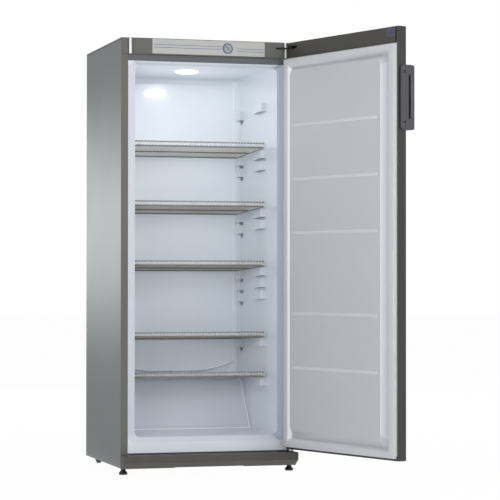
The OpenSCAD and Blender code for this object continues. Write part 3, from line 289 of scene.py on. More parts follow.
BULB = finish("lamp_glass", (255, 250, 236), (250, 244, 228), (0.1, 0.15), CLEAR_GLASS,
              light_through=0.6)

# Shelves: dipped wires, their shaded sides, and the rods under them
WIRE_COAT = finish("shelf_wire_coating", (218, 218, 214), (206, 206, 201), (0.25, 0.36), WIRE_DIP,
                   coat=0.3)
# Darker copy of the wire coat on the wires' faces that don't face the front: painted shade
WIRE_SHADE = finish("shelf_wire_painted_shade", (188, 185, 173), (176, 173, 161), (0.4, 0.5), WIRE_DIP)
ROD_COAT = finish("shelf_rod_coating", (126, 125, 118), (114, 113, 106), (0.3, 0.42), WIRE_DIP)


# Mesh helpers

SHARP = math.radians(35)
FOLD_SHARP = math.radians(50)
ROUNDED_FROM = math.radians(40)
LEVEL = math.radians(0.5)
MERGE = 0.002
NONE = (0, 0, 0)


def box_of(node):
    """A solid's lowest and highest corners at rest."""
    return [Vector(corner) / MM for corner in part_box(node)]


def shut_box(node):
    """A door solid's lowest and highest corners, as if the door were shut."""
    points = [SHUT_DOOR @ v.co for v in nodes[node].data.vertices]
    low = [min(p[i] for p in points) / MM for i in range(3)]
    high = [max(p[i] for p in points) / MM for i in range(3)]
    return low, high


def new_piece(name, mesh, material):
    piece = bpy.data.objects.new(name, mesh)
    bpy.context.scene.collection.objects.link(piece)
    piece.data.materials.clear()
    piece.data.materials.append(material)
    return piece


def piece_of(form, name, material):
    """Makes a piece of a finished form, and frees the form."""
    mesh = bpy.data.meshes.new(name)
    form.to_mesh(mesh)
    form.free()
    return new_piece(name, mesh, material)


def fit(piece, body, node, stands_for=False):
    """Puts a piece on its body, and hides the solid when the piece stands for it; node names the
    solid that it belongs to or stands for.
    """
    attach(piece, body)
    if stands_for:
        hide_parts(node)


def shade_by_angle(form, angle=SHARP):
    for face in form.faces:
        face.smooth = True
    for edge in form.edges:
        edge.smooth = len(edge.link_faces) == 2 and edge.calc_face_angle(0) < angle


def turn_faces(form, wrong):
    """Turns round every flat face that the test calls wrong."""
    for face in form.faces:
        face.normal_update()
        if wrong(face):
            face.normal_flip()


def rounded_copy(node, name, material, radius, steps=2):
    """A merged copy of a solid with its sharp edges rounded, which stands for that solid."""
    mesh = nodes[node].data.copy()
    form = bmesh.new()
    form.from_mesh(mesh)
    bmesh.ops.remove_doubles(form, verts=form.verts, dist=MERGE * MM)
    bmesh.ops.dissolve_limit(form, angle_limit=LEVEL, verts=form.verts, edges=form.edges)
    if radius:
        edges = [e for e in form.edges
                 if len(e.link_faces) == 2 and e.calc_face_angle(0) > ROUNDED_FROM]
        bmesh.ops.bevel(form, geom=edges, offset=radius * MM, segments=steps, profile=0.5,
                        affect="EDGES", clamp_overlap=True)
    shade_by_angle(form)
    form.to_mesh(mesh)
    form.free()
    piece = new_piece(name, mesh, material)
    flatten = piece.modifiers.new("even_flats", "WEIGHTED_NORMAL")
    flatten.keep_sharp = True
    fit(piece, nodes[node]["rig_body"], node, stands_for=True)
    return piece


def rounded_copies(table):
    """Copies by solid, from rows of solid, piece, material, radius and, where it isn't 2, steps."""
    return {row[0]: rounded_copy(*row) for row in table}


def plain_node(node, material):
    """A solid that keeps its own mesh and only takes a material."""
    nodes[node].data.materials.clear()
    nodes[node].data.materials.append(material)


def second_finish(piece, material, chosen):
    """Gives another material to the faces that the test picks, by their centre and normal."""
    piece.data.materials.append(material)
    place = len(piece.data.materials) - 1
    for face in piece.data.polygons:
        if chosen(face.center / MM, face.normal):
            face.material_index = place


def cut_across(piece, at, along):
    """Cuts a piece's faces along a plane, so that each side can take its own finish."""
    form = bmesh.new()
    form.from_mesh(piece.data)
    bmesh.ops.bisect_plane(form, geom=form.verts[:] + form.edges[:] + form.faces[:],
                           plane_co=at, plane_no=along)
    form.to_mesh(piece.data)
    form.free()


def lathe_y(form, centre, profile, steps=48):
    """Closed turned form about a line along y; profile is (radius, y) from pole to pole."""
    rings = []
    for radius, y in profile:
        if radius == 0:
            rings.append([form.verts.new((centre + Vector((0, y, 0))) * MM)])
            continue
        ring = []
        for k in range(steps):
            angle = 2 * math.pi * k / steps
            away = Vector((math.cos(angle), 0, math.sin(angle)))
            ring.append(form.verts.new((centre + away * radius + Vector((0, y, 0))) * MM))
        rings.append(ring)
    for a, b in zip(rings, rings[1:]):
        for k in range(steps):
            following = (k + 1) % steps
            corners = [a[k % len(a)], b[k % len(b)], b[following % len(b)], a[following % len(a)]]
            form.faces.new(list(dict.fromkeys(corners)))


# Wires, repeated by geometry nodes

WIRE_SIDES = 10


def make_wire_tree():
    """Round wires along the given path, repeated on a line and joined to one mesh."""
    tree = bpy.data.node_groups.new("wire_rows", "GeometryNodeTree")
    for name, kind in (("Geometry", "Geometry"), ("Count", "Int"), ("Start", "Vector"),
                       ("Step", "Vector"), ("Radius", "Float"), ("Material", "Material")):
        add_socket(tree, name, kind)
    add_socket(tree, "Geometry", "Geometry", way="OUTPUT")
    add = tree.nodes.new
    given = add("NodeGroupInput")
    result = add("NodeGroupOutput")
    section = add("GeometryNodeCurvePrimitiveCircle")
    section.inputs["Resolution"].default_value = WIRE_SIDES
    tube = add("GeometryNodeCurveToMesh")
    tube.inputs["Fill Caps"].default_value = True
    line = add("GeometryNodeMeshLine")
    repeat = add("GeometryNodeInstanceOnPoints")
    real = add("GeometryNodeRealizeInstances")
    smooth = add("GeometryNodeSetShadeSmooth")
    coat = add("GeometryNodeSetMaterial")
    wire_up(tree, (given, "Radius", section, "Radius"), (given, "Geometry", tube, "Curve"),
            (section, "Curve", tube, "Profile Curve"), (given, "Count", line, "Count"),
            (given, "Start", line, "Start Location"), (given, "Step", line, "Offset"),
            (line, "Mesh", repeat, "Points"), (tube, "Mesh", repeat, "Instance"),
            (repeat, "Instances", real, "Geometry"), (real, "Geometry", smooth, "Geometry"),
            (smooth, "Geometry", coat, "Geometry"), (given, "Material", coat, "Material"),
            (coat, "Geometry", result, "Geometry"))
    return tree


WIRE_ROWS = make_wire_tree()


def bent_path(points, radius, steps=4):
    """Points of a path with its inner corners rounded."""
    path = [Vector(points[0])]
    for before, at, after in zip(points, points[1:], points[2:]):
        at = Vector(at)
        start = at + (Vector(before) - at).normalized() * radius
        end = at + (Vector(after) - at).normalized() * radius
        for k in range(steps + 1):
            t = k / steps
            path.append(start.lerp(at, t).lerp(at.lerp(end, t), t))
    path.append(Vector(points[-1]))
    return path


def wire_rows(name, path, radius, material, count=1, start=NONE, step=NONE):
    """Copies of one bent wire, as a plain mesh."""
    curve = bpy.data.curves.new(name + "_path", "CURVE")
    curve.dimensions = "3D"
    spline = curve.splines.new("POLY")
    spline.points.add(len(path) - 1)
    for point, at in zip(spline.points, path):
        point.co = (*(Vector(at) * MM), 1)
    carrier = bpy.data.objects.new(name + "_path", curve)
    bpy.context.scene.collection.objects.link(carrier)
    rows = carrier.modifiers.new("rows", "NODES")
    rows.node_group = WIRE_ROWS
    values = {"Count": count, "Start": Vector(start) * MM, "Step": Vector(step) * MM,
              "Radius": radius * MM, "Material": material}
    for item in WIRE_ROWS.interface.items_tree:
        if item.in_out == "INPUT" and item.name in values:
            rows[item.identifier] = values[item.name]
    evaluated = carrier.evaluated_get(bpy.context.evaluated_depsgraph_get())
    mesh = bpy.data.meshes.new_from_object(evaluated)
    carrier.modifiers.clear()
    bpy.data.objects.remove(carrier)
    mesh.name = name
    return mesh


def joined(name, meshes, *materials):
    """One piece from pairs of a mesh and the number of its material."""
    form = bmesh.new()
    numbers = []
    for mesh, number in meshes:
        form.from_mesh(mesh)
        numbers += [number] * len(mesh.polygons)
    piece = piece_of(form, name, materials[0])
    for material in materials[1:]:
        piece.data.materials.append(material)
    piece.data.polygons.foreach_set("material_index", numbers)
    return piece


# Cabinet: solids with a rounded copy

CABINET_COPIES = (
    ("side_panel_left", "side_skin_left", LACQUER, 0.4),
    ("side_panel_right", "side_skin_right", LACQUER, 0.4),
    ("top_cover", "top_lid", COVER, 2.0, 3),
    ("rear_wall_panel", "rear_sheet", BARE_SHEET, 0.3),
    ("floor_pan", "bay_sheet", BARE_SHEET, 0.2),
    ("header_rail", "head_rail", RAIL, 0.3),
    ("fascia", "fascia_panel", FASCIA, 0.7),
    ("control_plate", "control_sheet", PLATE, 0.2),
    ("inner_liner", "liner_shell", LINER, 0.0),
    ("base_frame", "base_rails", FRAME_PAINT, 0.4),
    ("kickplate", "kick_panel", KICK, 0.9, 3),
    ("top_hinge", "top_hinge_plate", SHADED_STEEL, 0.4),
    ("bottom_hinge", "bottom_hinge_plate", SHADED_STEEL, 0.4),
    ("hinge_screws", "hinge_screw_set", ZINC, 0.3),
    ("lamp_cover", "lamp_dome", DOME, 0.3),
    ("lamp_bulb", "lamp_bulb_glass", BULB, 0.0),
    ("lamp_holder", "lamp_socket", PALE_PLASTIC, 0.3),
    ("thermostat", "thermostat_body", PALE_PLASTIC, 0.4),
    ("compressor", "compressor_shell", BLACK_GLOSS, 0.6),
    ("compressor_grommets", "compressor_feet", RUBBER, 0.5),
    ("compressor_bolts", "compressor_bolt_set", ZINC, 0.3),
    ("terminal_box", "terminal_cover", BLACK_PLASTIC, 1.5, 3),
    ("filter_drier", "drier_can", COPPER, 0.4),
    ("refrigerant_pipes", "copper_pipes", COPPER, 0.0),
    ("evaporation_tray", "defrost_tray", BLACK_PLASTIC, 0.6),
    ("condenser_coil", "condenser_tube", BLACK_WIRE, 0.0),
    ("condenser_clips", "condenser_brackets", BLACK_PLASTIC, 0.4),
    ("wall_stops", "wall_spacers", BLACK_PLASTIC, 1.0),
    ("drain_spout", "drain_tube", PALE_PLASTIC, 0.3),
    ("drain_hose", "drain_bellows", RUBBER, 0.3),
    ("roller_axles", "axle_pins", ZINC, 0.3),
)
TURNING_COPIES = (
    ("front_foot_left", "foot_left_pad", BLACK_PLASTIC, 0.5),
    ("rear_roller_left", "roller_left_wheel", BLACK_PLASTIC, 0.4),
    ("front_foot_right", "foot_right_pad", BLACK_PLASTIC, 0.5),
    ("rear_roller_right", "roller_right_wheel", BLACK_PLASTIC, 0.4),
)

FLANGE_BACK = 1.5        # the side panels' front flanges lie before this depth
BEAD_HIGHLIGHT_X = 270             # middle of the fascia's two beads, painted near white as a highlight
BEAD_HIGHLIGHT_HALF = 4.4
BEAD_HIGHLIGHT_FRONT = -7.9
RIM_BACK = 0.5           # the liner's flat rim lies before this depth
MOUTH_BACK = 23          # and its sloping mouth before this one
MOUTH_SIDE = 235         # faces of the mouth's side bands lie beyond this, to either side
SILL_TOP = 140           # and those of its lower band under this
HUMP_TOP = 306           # slopes below this belong to the motor hump
LEDGE_SIDE = 205         # the ledges stand on the side walls beyond this, to either side
LEDGE_Y = (100, 460)
LEDGE_Z = (250, 1320)


def in_mouth(at, facing):
    return facing.y < -0.3 and at.y < MOUTH_BACK


def on_ledge(at):
    return (abs(at.x) > LEDGE_SIDE and LEDGE_Y[0] < at.y < LEDGE_Y[1]
            and LEDGE_Z[0] < at.z < LEDGE_Z[1])


def in_mouth_half_shade(at, facing):
    """Left and lower band of the mouth, slopes of the hump, and the flat rim in front, which take a
    lighter painted shade.
    """
    return (in_mouth(at, facing) and (at.x < -MOUTH_SIDE or at.z < SILL_TOP)
            or at.z < HUMP_TOP and facing.y < -0.2 and facing.z > 0.2
            or facing.y < -0.99 and at.y < RIM_BACK)


def in_liner_shade(at, facing):
    """Undersides of the ledges, and the right band of the mouth."""
    return facing.z < -0.5 and on_ledge(at) or in_mouth(at, facing) and at.x > MOUTH_SIDE


def dress_cabinet():
    made = rounded_copies(CABINET_COPIES)
    for side in ("left", "right"):
        # Painted shade on the side panels' front faces
        second_finish(made[f"side_panel_{side}"], FLANGE_SHADE,
                      lambda at, facing: at.y < FLANGE_BACK and facing.y < -0.6)
    # Painted highlight on the fascia's beads
    second_finish(made["fascia"], BEAD_HIGHLIGHT, lambda at, facing: abs(facing.z) < 0.5
                  and abs(abs(at.x) - BEAD_HIGHLIGHT_X) < BEAD_HIGHLIGHT_HALF and at.y < BEAD_HIGHLIGHT_FRONT)
    shell = made["inner_liner"]
    # Painted shade on the mouth, the hump's slopes and the rim
    second_finish(shell, LINER_MOUTH_SHADE, in_mouth_half_shade)
    # Painted shade on the ledges' front faces
    second_finish(shell, LEDGE_FRONT_SHADE, lambda at, facing: facing.y < -0.4 and on_ledge(at))
    second_finish(shell, LINER_SHADE, in_liner_shade)
    plain_node("insulation", FOAM)
    plain_node("evaporator", BARE_SHEET)


# Compartment: beads, dark patches of painted shade under the ledges, and the drain's strainer

COLD_EDGE = 222          # the raised cold wall reaches this far to either side
COLD_FRONT = 471.4
COLD_TOP = 1336
COLD_FOOT = 372          # its upright edges end here, over the gutter's curve
GUTTER_FRONT = 464.4
GUTTER_LOW = 324.5
GUTTER_FLAT = 90         # the gutter is level this far from the middle, and rises to the edges
GUTTER_RISE = 32
GUTTER_STEPS = range(-216, 217, 12)
COLD_BEAD = 2.4          # radius of the beads, and of the bends in them
COLD_BEND = 5
HUMP_BEAD = 2.2
HUMP_BEND = 9
HUMP_EDGE = ((226, 436, 292.8), (227, 397.5, 292.8), (236, 305, 126.5))
HUMP_FOOT = (236, 304, 126.8)


def gutter_z(x):
    rise = max(0, abs(x) - GUTTER_FLAT) / (COLD_EDGE - GUTTER_FLAT)
    return GUTTER_LOW + GUTTER_RISE * rise ** 1.6


def make_liner_beads():
    """Fine raised beads: round the cold wall, along the motor hump's sides and at its foot, with a
    painted highlight.
    """
    def rod(name, path, radius):
        return wire_rows(name, path, radius, LINER_BEAD_HIGHLIGHT), 0

    gutter = [(x, GUTTER_FRONT, gutter_z(x)) for x in GUTTER_STEPS]
    ring = [(-COLD_EDGE, COLD_FRONT, COLD_TOP), (-COLD_EDGE, COLD_FRONT, COLD_FOOT), *gutter,
            (COLD_EDGE, COLD_FRONT, COLD_FOOT), (COLD_EDGE, COLD_FRONT, COLD_TOP)]
    meshes = [rod("cold_wall_bead", bent_path(ring, COLD_BEND), COLD_BEAD)]
    for side in (-1, 1):
        along = [(side * x, y, z) for x, y, z in HUMP_EDGE]
        meshes.append(rod("hump_bead", bent_path(along, HUMP_BEND), HUMP_BEAD))
    reach, y, z = HUMP_FOOT
    meshes.append(rod("foot_bead", [(-reach, y, z), (0, y, z), (reach, y, z)], HUMP_BEAD))
    fit(joined("liner_beads", meshes, LINER_BEAD_HIGHLIGHT), "cabinet", "inner_liner")


LEVEL_LOW = 433
LEVEL_PITCH = 40.5
LEDGE_LEVELS = [LEVEL_LOW + LEVEL_PITCH * step for step in (0, 4, 5, 6, 10, 11, 15, 16, 20)]
SHADE_PATCH = ((406, -27), (444, -27), (434, -41), (416, -41))    # depth, and height from the ledge
WALL_X = 247.1           # the side wall at the mouth, from where it leans in
WALL_START = 22
WALL_LEAN = 0.01786
SHADE_PATCH_SKIN = 0.2


def make_ledge_shade_patches():
    """Flat dark patches on the side walls under the rear ledges: painted shade."""
    form = bmesh.new()
    for side in (-1, 1):
        for level in LEDGE_LEVELS:
            corners = [form.verts.new((side * (WALL_X - WALL_LEAN * (y - WALL_START)) * MM,
                                       y * MM, (level + up) * MM)) for y, up in SHADE_PATCH]
            form.faces.new(corners if side > 0 else corners[::-1])
    turn_faces(form, lambda face: face.normal.x * face.calc_center_median().x > 0)
    piece = piece_of(form, "ledge_shade_patches", LEDGE_SHADE_PATCH)
    skin = piece.modifiers.new("skin", "SOLIDIFY")
    skin.thickness = SHADE_PATCH_SKIN * MM
    skin.offset = -1
    fit(piece, "cabinet", "inner_liner")


STRAINER_LIFT = 3.2      # before the spout's mouth
STRAINER = ((1.5, 0), (5.8, -0.2), (6.8, 0.4), (6.9, 1.6), (1.5, 1.6), (1.5, 0))


def make_strainer():
    """Pale ring with a small hole in the mouth of the defrost drain."""
    low, high = box_of("drain_spout")
    centre = Vector(((low.x + high.x) / 2, 0, (low.z + high.z) / 2))
    y = low.y - STRAINER_LIFT
    form = bmesh.new()
    lathe_y(form, centre, [(radius, y + back) for radius, back in STRAINER], 32)
    bmesh.ops.remove_doubles(form, verts=form.verts, dist=0.01 * MM)
    bmesh.ops.recalc_face_normals(form, faces=form.faces)
    shade_by_angle(form)
    fit(piece_of(form, "drain_strainer", LINER), "cabinet", "drain_spout")


# Control plate print and knob

LINE_WIDTH = 1.3
LEFT_LINES = (5.4, -3.8)     # heights of the printed lines from the knob's centre
RIGHT_LINES = (-0.6, -9.4)
PRINT_LIFT = 0.04
PRINT_THICK = 0.05
DIAL_RING = (14.6, 17.4)
TICK_START = 17.2
TICK_ENDS = (19.8, 18.6)     # long and short ticks, in turn
TICK_COUNT = 11
TICK_FIRST = -60             # these three in degrees
TICK_STEP = 30
TICK_HALF = 2.2


def knob_centre():
    """Centre in x and z, and the knob's front and back."""
    low, high = box_of("control_knob")
    return Vector(((low.x + high.x) / 2, 0, (low.z + high.z) / 2)), low.y, high.y


def sector(form, centre, y, inner, outer, start, end, steps):
    """Flat ring sector that faces the front, from one angle in degrees to another."""
    rows = []
    for k in range(steps + 1):
        angle = math.radians(start + (end - start) * k / steps)
        away = Vector((math.cos(angle), 0, math.sin(angle)))
        rows.append([form.verts.new((centre + away * r + Vector((0, y, 0))) * MM)
                     for r in (inner, outer)])
    for a, b in zip(rows, rows[1:]):
        form.faces.new((a[0], a[1], b[1], b[0]))


def make_print():
    """Thin printed lines, and a ring with ticks round the knob, on the control plate."""
    low, high = box_of("control_plate")
    centre = knob_centre()[0]
    y = low.y - PRINT_LIFT
    left = (low.x + 5, centre.x - 21)
    right = (centre.x + 34, high.x - 4)
    form = bmesh.new()
    for (x0, x1), heights in ((left, LEFT_LINES), (right, RIGHT_LINES)):
        for above in heights:
            z = centre.z + above
            corners = ((x0, z), (x1, z), (x1, z + LINE_WIDTH), (x0, z + LINE_WIDTH))
            form.faces.new([form.verts.new((x * MM, y * MM, up * MM)) for x, up in corners])
    sector(form, centre, y, *DIAL_RING, -90, 270, 72)
    for k in range(TICK_COUNT):
        angle = TICK_FIRST + TICK_STEP * k
        sector(form, centre, y, TICK_START, TICK_ENDS[k % 2], angle - TICK_HALF,
               angle + TICK_HALF, 2)
    bmesh.ops.remove_doubles(form, verts=form.verts, dist=MERGE * MM)
    turn_faces(form, lambda face: face.normal.y > 0)
    piece = piece_of(form, "plate_print", PRINT)
    ink = piece.modifiers.new("ink", "SOLIDIFY")
    ink.thickness = PRINT_THICK * MM
    ink.offset = 0
    fit(piece, "cabinet", "control_plate")


SKIRT_BACK = 4               # the skirt starts this far behind the bar's front
SKIRT = ((0, 0), (9.5, 0), (11.5, 0.3), (12.6, 1.2), (13, 2.6), (13, 6.4), (3, 6.5))
BAR_LENGTH = 23
BAR_DEPTH = 4.6
BAR_FRONT = 5.4              # the bar's width in front, and where it meets the skirt
BAR_FOOT = 7.4
BAR_ROUND = 1.1
BAR_REACH = 13               # the whole bar lies within this of its middle
BAR_TURN = math.radians(45)
# The strip of painted shade on the bar, in the bar's own axes
BAR_SHADE_SIZE = (15, 0.2, 1.8)
BAR_SHADE_AT = (-3, -2.35, -0.8)
BAR_SHADE_ROUND = 0.05


def make_knob():
    """Low skirt with a bar grip that points up and left, and a dark strip of painted shade on the
    bar.
    """
    centre, front, back = knob_centre()
    skirt = front + SKIRT_BACK
    form = bmesh.new()
    lathe_y(form, centre, [(radius, skirt + y) for radius, y in SKIRT] + [(3, back), (0, back)])
    made = bmesh.ops.create_cube(form, size=1)["verts"]
    for vert in made:
        width = BAR_FRONT if vert.co.y < 0 else BAR_FOOT
        vert.co = Vector((vert.co.x * BAR_LENGTH, vert.co.y * BAR_DEPTH, vert.co.z * width)) * MM
    edges = list({e for v in made for e in v.link_edges})
    bmesh.ops.bevel(form, geom=edges, offset=BAR_ROUND * MM, segments=3, profile=0.5,
                    affect="EDGES")
    # The bar is still at the origin, far from the skirt, so its points are found by distance
    bar = [v for v in form.verts if v.co.length < BAR_REACH * MM]
    turn = Matrix.Rotation(BAR_TURN, 4, "Y")
    place = Matrix.Translation((centre + Vector((0, front + BAR_DEPTH / 2, 0))) * MM) @ turn
    for vert in bar:
        vert.co = place @ vert.co
    bmesh.ops.recalc_face_normals(form, faces=form.faces)
    shade_by_angle(form)
    fit(piece_of(form, "dial_knob", KNOB), "knob", "control_knob", stands_for=True)
    # Dark strip on the bar's front: painted shade of its lower side
    line = bmesh.new()
    for vert in bmesh.ops.create_cube(line, size=1)["verts"]:
        spot = [part * size + at for part, size, at in zip(vert.co, BAR_SHADE_SIZE, BAR_SHADE_AT)]
        vert.co = place @ (Vector(spot) * MM)
    bmesh.ops.bevel(line, geom=line.edges[:], offset=BAR_SHADE_ROUND * MM, segments=1,
                    affect="EDGES")
    bmesh.ops.recalc_face_normals(line, faces=line.faces)
    fit(piece_of(line, "knob_bar_shade", KNOB_BAR_SHADE), "knob", "control_knob")


# Door

DOOR_SHELL_COPIES = (
    ("door_skin", "door_sheet", LACQUER, 0.3),
    ("door_liner", "door_inner_shell", DOOR_LINER, 0.8, 3),
    ("door_top_cap", "door_head_cap", CAP, 0.5),
    ("door_bottom_cap", "door_foot_cap", CAP, 0.5),
    ("hinge_slot_cover", "spare_slot_cover", SLOT_COVER, 0.5),
)
DOOR_FITTING_COPIES = (
    ("door_top_bush", "top_bush_ring", PALE_PLASTIC, 0.3),
    ("door_bottom_bush", "bottom_bush_ring", PALE_PLASTIC, 0.3),
    ("handle", "pull_handle", HANDLE, 1.6, 4),
    ("handle_screws", "handle_screw_pair", SHADED_STEEL, 0.3),
)
RIB_Z = (352, 533, 802, 982, 1163)
RIB_HALF = 6.4
FIELD_Z = (200, 1300)        # the raised field's sides are straight between these heights
GRIP_Y = (9, 26.5)           # the slot in the handle, from its outer face
GRIP_ENDS = (31, 27)         # and from the handle's foot and head
GRIP_SPLIT = 0.45            # share of the handle's width where the slot turns deep and its faces take painted shade


def on_field_side(at, facing):
    """On a side of the raised field, away from its corners."""
    return facing.dot(INWARD) > 0.1 and FIELD_Z[0] < at.z < FIELD_Z[1]


def dress_door():
    made = rounded_copies(DOOR_SHELL_COPIES)
    # Painted shade on the door sheet's faces that don't face out
    second_finish(made["door_skin"], DOOR_EDGE_SHADE, lambda at, facing: facing.dot(OUTWARD) < 0.6)
    shell = made["door_liner"]
    # Painted highlight on the ribs
    second_finish(shell, DOOR_RIB_HIGHLIGHT, lambda at, facing: 0 < facing.dot(INWARD) < 0.995
                  and min(abs(at.z - z) for z in RIB_Z) < RIB_HALF)
    # Painted light on the field's hinge-side slope
    second_finish(shell, DOOR_PAINTED_LIGHT, lambda at, facing: facing.dot(TO_HINGE) > 0.4
                  and on_field_side(at, facing))
    # Painted sheen on the field's free-side slope
    second_finish(shell, DOOR_SLOPE_SHEEN, lambda at, facing: facing.dot(TO_HINGE) < -0.4
                  and on_field_side(at, facing))
    make_slot_field()
    finish_grip(rounded_copies(DOOR_FITTING_COPIES)["handle"])
    plain_node("door_foam", FOAM)


def finish_grip(grip):
    """Painted light on the inner faces of the handle's slot, and painted shade on its far side."""
    low, high = shut_box("handle")
    deep = low[0] + GRIP_SPLIT * (high[0] - low[0])

    def in_slot(at, facing):
        spot = SHUT_DOOR @ (at * MM) / MM
        across = SHUT_DOOR.to_3x3() @ facing
        return (GRIP_Y[0] < spot.y - low[1] < GRIP_Y[1] and abs(across.x) < 0.5
                and GRIP_ENDS[0] < spot.z - low[2] < high[2] - low[2] - GRIP_ENDS[1])

    cut_across(grip, OPEN_DOOR @ Vector((deep * MM, low[1] * MM, low[2] * MM)), TO_HINGE)
    second_finish(grip, GRIP_LIT, in_slot)
    second_finish(grip, GRIP_SHADE, lambda at, facing: in_slot(at, facing)
                  and (SHUT_DOOR @ (at * MM)).x / MM > deep)


FIELD_MARGIN = 7
FIELD_THICK = 0.8
FIELD_ROUND = 0.3


def make_slot_field():
    """Dark raised field of the blue-grey insert over the spare hinge slot."""
    low, high = shut_box("hinge_slot_cover")
    form = bmesh.new()
    for vert in bmesh.ops.create_cube(form, size=1)["verts"]:
        vert.co = Vector((
            (low[0] + high[0]) / 2 + vert.co.x * (high[0] - low[0] - FIELD_MARGIN),
            high[1] + vert.co.y * FIELD_THICK,
            (low[2] + high[2]) / 2 + vert.co.z * (high[2] - low[2] - FIELD_MARGIN))) * MM
    bmesh.ops.bevel(form, geom=form.edges[:], offset=FIELD_ROUND * MM, segments=2, profile=0.5,
                    affect="EDGES")
    bmesh.ops.recalc_face_normals(form, faces=form.faces)
    shade_by_angle(form)
    piece = piece_of(form, "slot_cover_field", SLOT_FIELD)
    piece.data.transform(OPEN_DOOR)
    fit(piece, "door", "hinge_slot_cover")


# Door gasket

GASKET_WIDTH = 23
SKIRT_REACH = 10             # from the gasket's crown towards the raised field
FOLDS = 3
FOLD_STEPS = 5
FOLD_INSET = 1.2
FOLD_BULGE = 0.8


def soft_fold(y0, y1):
    """Half a turn that bulges outwards from one depth to the next, as (inset, y)."""
    middle = (y0 + y1) / 2
    reach = (y1 - y0) / 2
    angles = [math.radians(-90 + 180 * k / FOLD_STEPS) for k in range(FOLD_STEPS + 1)]
    return [(FOLD_INSET - reach * FOLD_BULGE * math.cos(a), middle + reach * math.sin(a))
            for a in angles]


def ring_sweep(name, profile, low, high, material):
    """A closed frame in x and z with mitred corners; profile is (inset, y) round its section."""
    form = bmesh.new()
    rows = []
    for inset, depth in profile:
        corners = [(low[0] + inset, low[1] + inset), (high[0] - inset, low[1] + inset),
                   (high[0] - inset, high[1] - inset), (low[0] + inset, high[1] - inset)]
        rows.append([form.verts.new((x * MM, depth * MM, z * MM)) for x, z in corners])
    for row, following in zip(rows, rows[1:] + rows[:1]):
        for k in range(4):
            form.faces.new((row[k], row[(k + 1) % 4], following[(k + 1) % 4], following[k]))
    bmesh.ops.remove_doubles(form, verts=form.verts, dist=MERGE * MM)
    bmesh.ops.recalc_face_normals(form, faces=form.faces)
    shade_by_angle(form, FOLD_SHARP)
    return piece_of(form, name, material)


def make_gasket():
    """Three soft folds outside, a flat crown, and a skirt that slopes down to the liner."""
    low, high = shut_box("door_gasket")
    y0 = low[1]
    y1 = high[1]
    step = (y1 - y0 - 2) / FOLDS
    folds = [point for k in range(FOLDS)
             for point in soft_fold(y0 + k * step, y0 + k * step + step)]
    crown = [(3, y1 - 1.9), (8, y1 - 0.6), (10, y1), (GASKET_WIDTH - 4, y1),
             (GASKET_WIDTH - 2, y1 - 0.8)]
    skirt = [(GASKET_WIDTH, y1 - 2.4), (GASKET_WIDTH + 3, y1 - 4.6), (GASKET_WIDTH + 7, y0 + 4),
             (GASKET_WIDTH + 9, y0 + 2), (GASKET_WIDTH + 9, y0 + 0.5)]
    piece = ring_sweep("gasket_folds", folds + crown + skirt, (low[0], low[2]),
                       (high[0], high[2]), SEAL)
    inner = high[0] - GASKET_WIDTH
    second_finish(piece, SEAL_SHADE, lambda at, facing: at.x > inner)
    # Painted light on the skirt, over the shade in the trench by the field
    second_finish(piece, DOOR_PAINTED_LIGHT, lambda at, facing: inner - SKIRT_REACH < at.x < inner)
    piece.data.transform(OPEN_DOOR)
    fit(piece, "door", "door_gasket", stands_for=True)


# Shelves

ROD = 2.5                    # radius of the rods
WIRE = 1.5                   # radius of the wires
WIRES = 42
RISE = 16                    # from a shelf's rear edge to its front edge
WELD = 0.4                   # how far the wires sink into the rods
SIDE_MARGIN = 13.5           # from a shelf's side to its outer wire
CROSS_ROD = 0.54             # place of the middle rod, as a share of the depth
LIP_DROP = 0.8               # from the top of the lip's rail to the ends of the wires
HOOP_LAP = 0.5
WIRE_BEND = 6
ROD_BEND = 9
SHADED_FROM = -0.45          # wire faces that look less to the front than this are shaded
COAT, RODS, SHADED = 0, 1, 2     # numbers of a shelf's materials


def make_shelf(number):
    """Wires on a rod frame that slopes down to the rear, with a low lip of bent-up wires."""
    node = f"shelf_{number}"
    low, high = box_of(node)
    half = high.x - ROD
    front = low.y + 2 * WIRE + ROD - WELD
    back = high.y - ROD
    lip = high.z - ROD
    pitch = (2 * high.x - 2 * SIDE_MARGIN) / (WIRES - 1)

    def rod_z(y):
        return low.z + ROD + (back - y) * RISE / (high.y - low.y)

    def deck_z(y):
        return rod_z(y) + ROD - WELD + WIRE

    deck = bent_path([(0, back + 1, deck_z(back)), (0, low.y + WIRE, deck_z(low.y)),
                      (0, low.y + WIRE, high.z - LIP_DROP)], WIRE_BEND)
    hoop = bent_path([(0, front, rod_z(front)), (half, front, rod_z(front)),
                      (half, back, rod_z(back)), (-half, back, rod_z(back)),
                      (-half, front, rod_z(front)), (HOOP_LAP, front, rod_z(front))], ROD_BEND)
    lip_rail = [(-half, front, lip), (0, front, lip), (half, front, lip)]
    middle = low.y + (high.y - low.y) * CROSS_ROD
    cross = [(-half, middle, rod_z(middle)), (half, middle, rod_z(middle))]
    post = [(0, front, rod_z(front)), (0, front, lip)]
    meshes = [(wire_rows(node + "_wires", deck, WIRE, WIRE_COAT, WIRES,
                         (-pitch * (WIRES - 1) / 2, 0, 0), (pitch, 0, 0)), COAT)]
    for path in (hoop, lip_rail, cross):
        meshes.append((wire_rows(node + "_rod", path, ROD, ROD_COAT), RODS))
    meshes.append((wire_rows(node + "_post", post, WIRE, WIRE_COAT, 2, (-half, 0, 0),
                             (2 * half, 0, 0)), COAT))
    piece = joined(f"wire_shelf_{number}", meshes, WIRE_COAT, ROD_COAT, WIRE_SHADE)
    # Painted shade on the wire faces that don't face the front
    for face in piece.data.polygons:
        if face.material_index == COAT and face.normal.y > SHADED_FROM:
            face.material_index = SHADED
    fit(piece, node + "_body", node, stands_for=True)


# Condenser wires

CONDENSER_WIRE = 1.6
CONDENSER_ROWS = 46


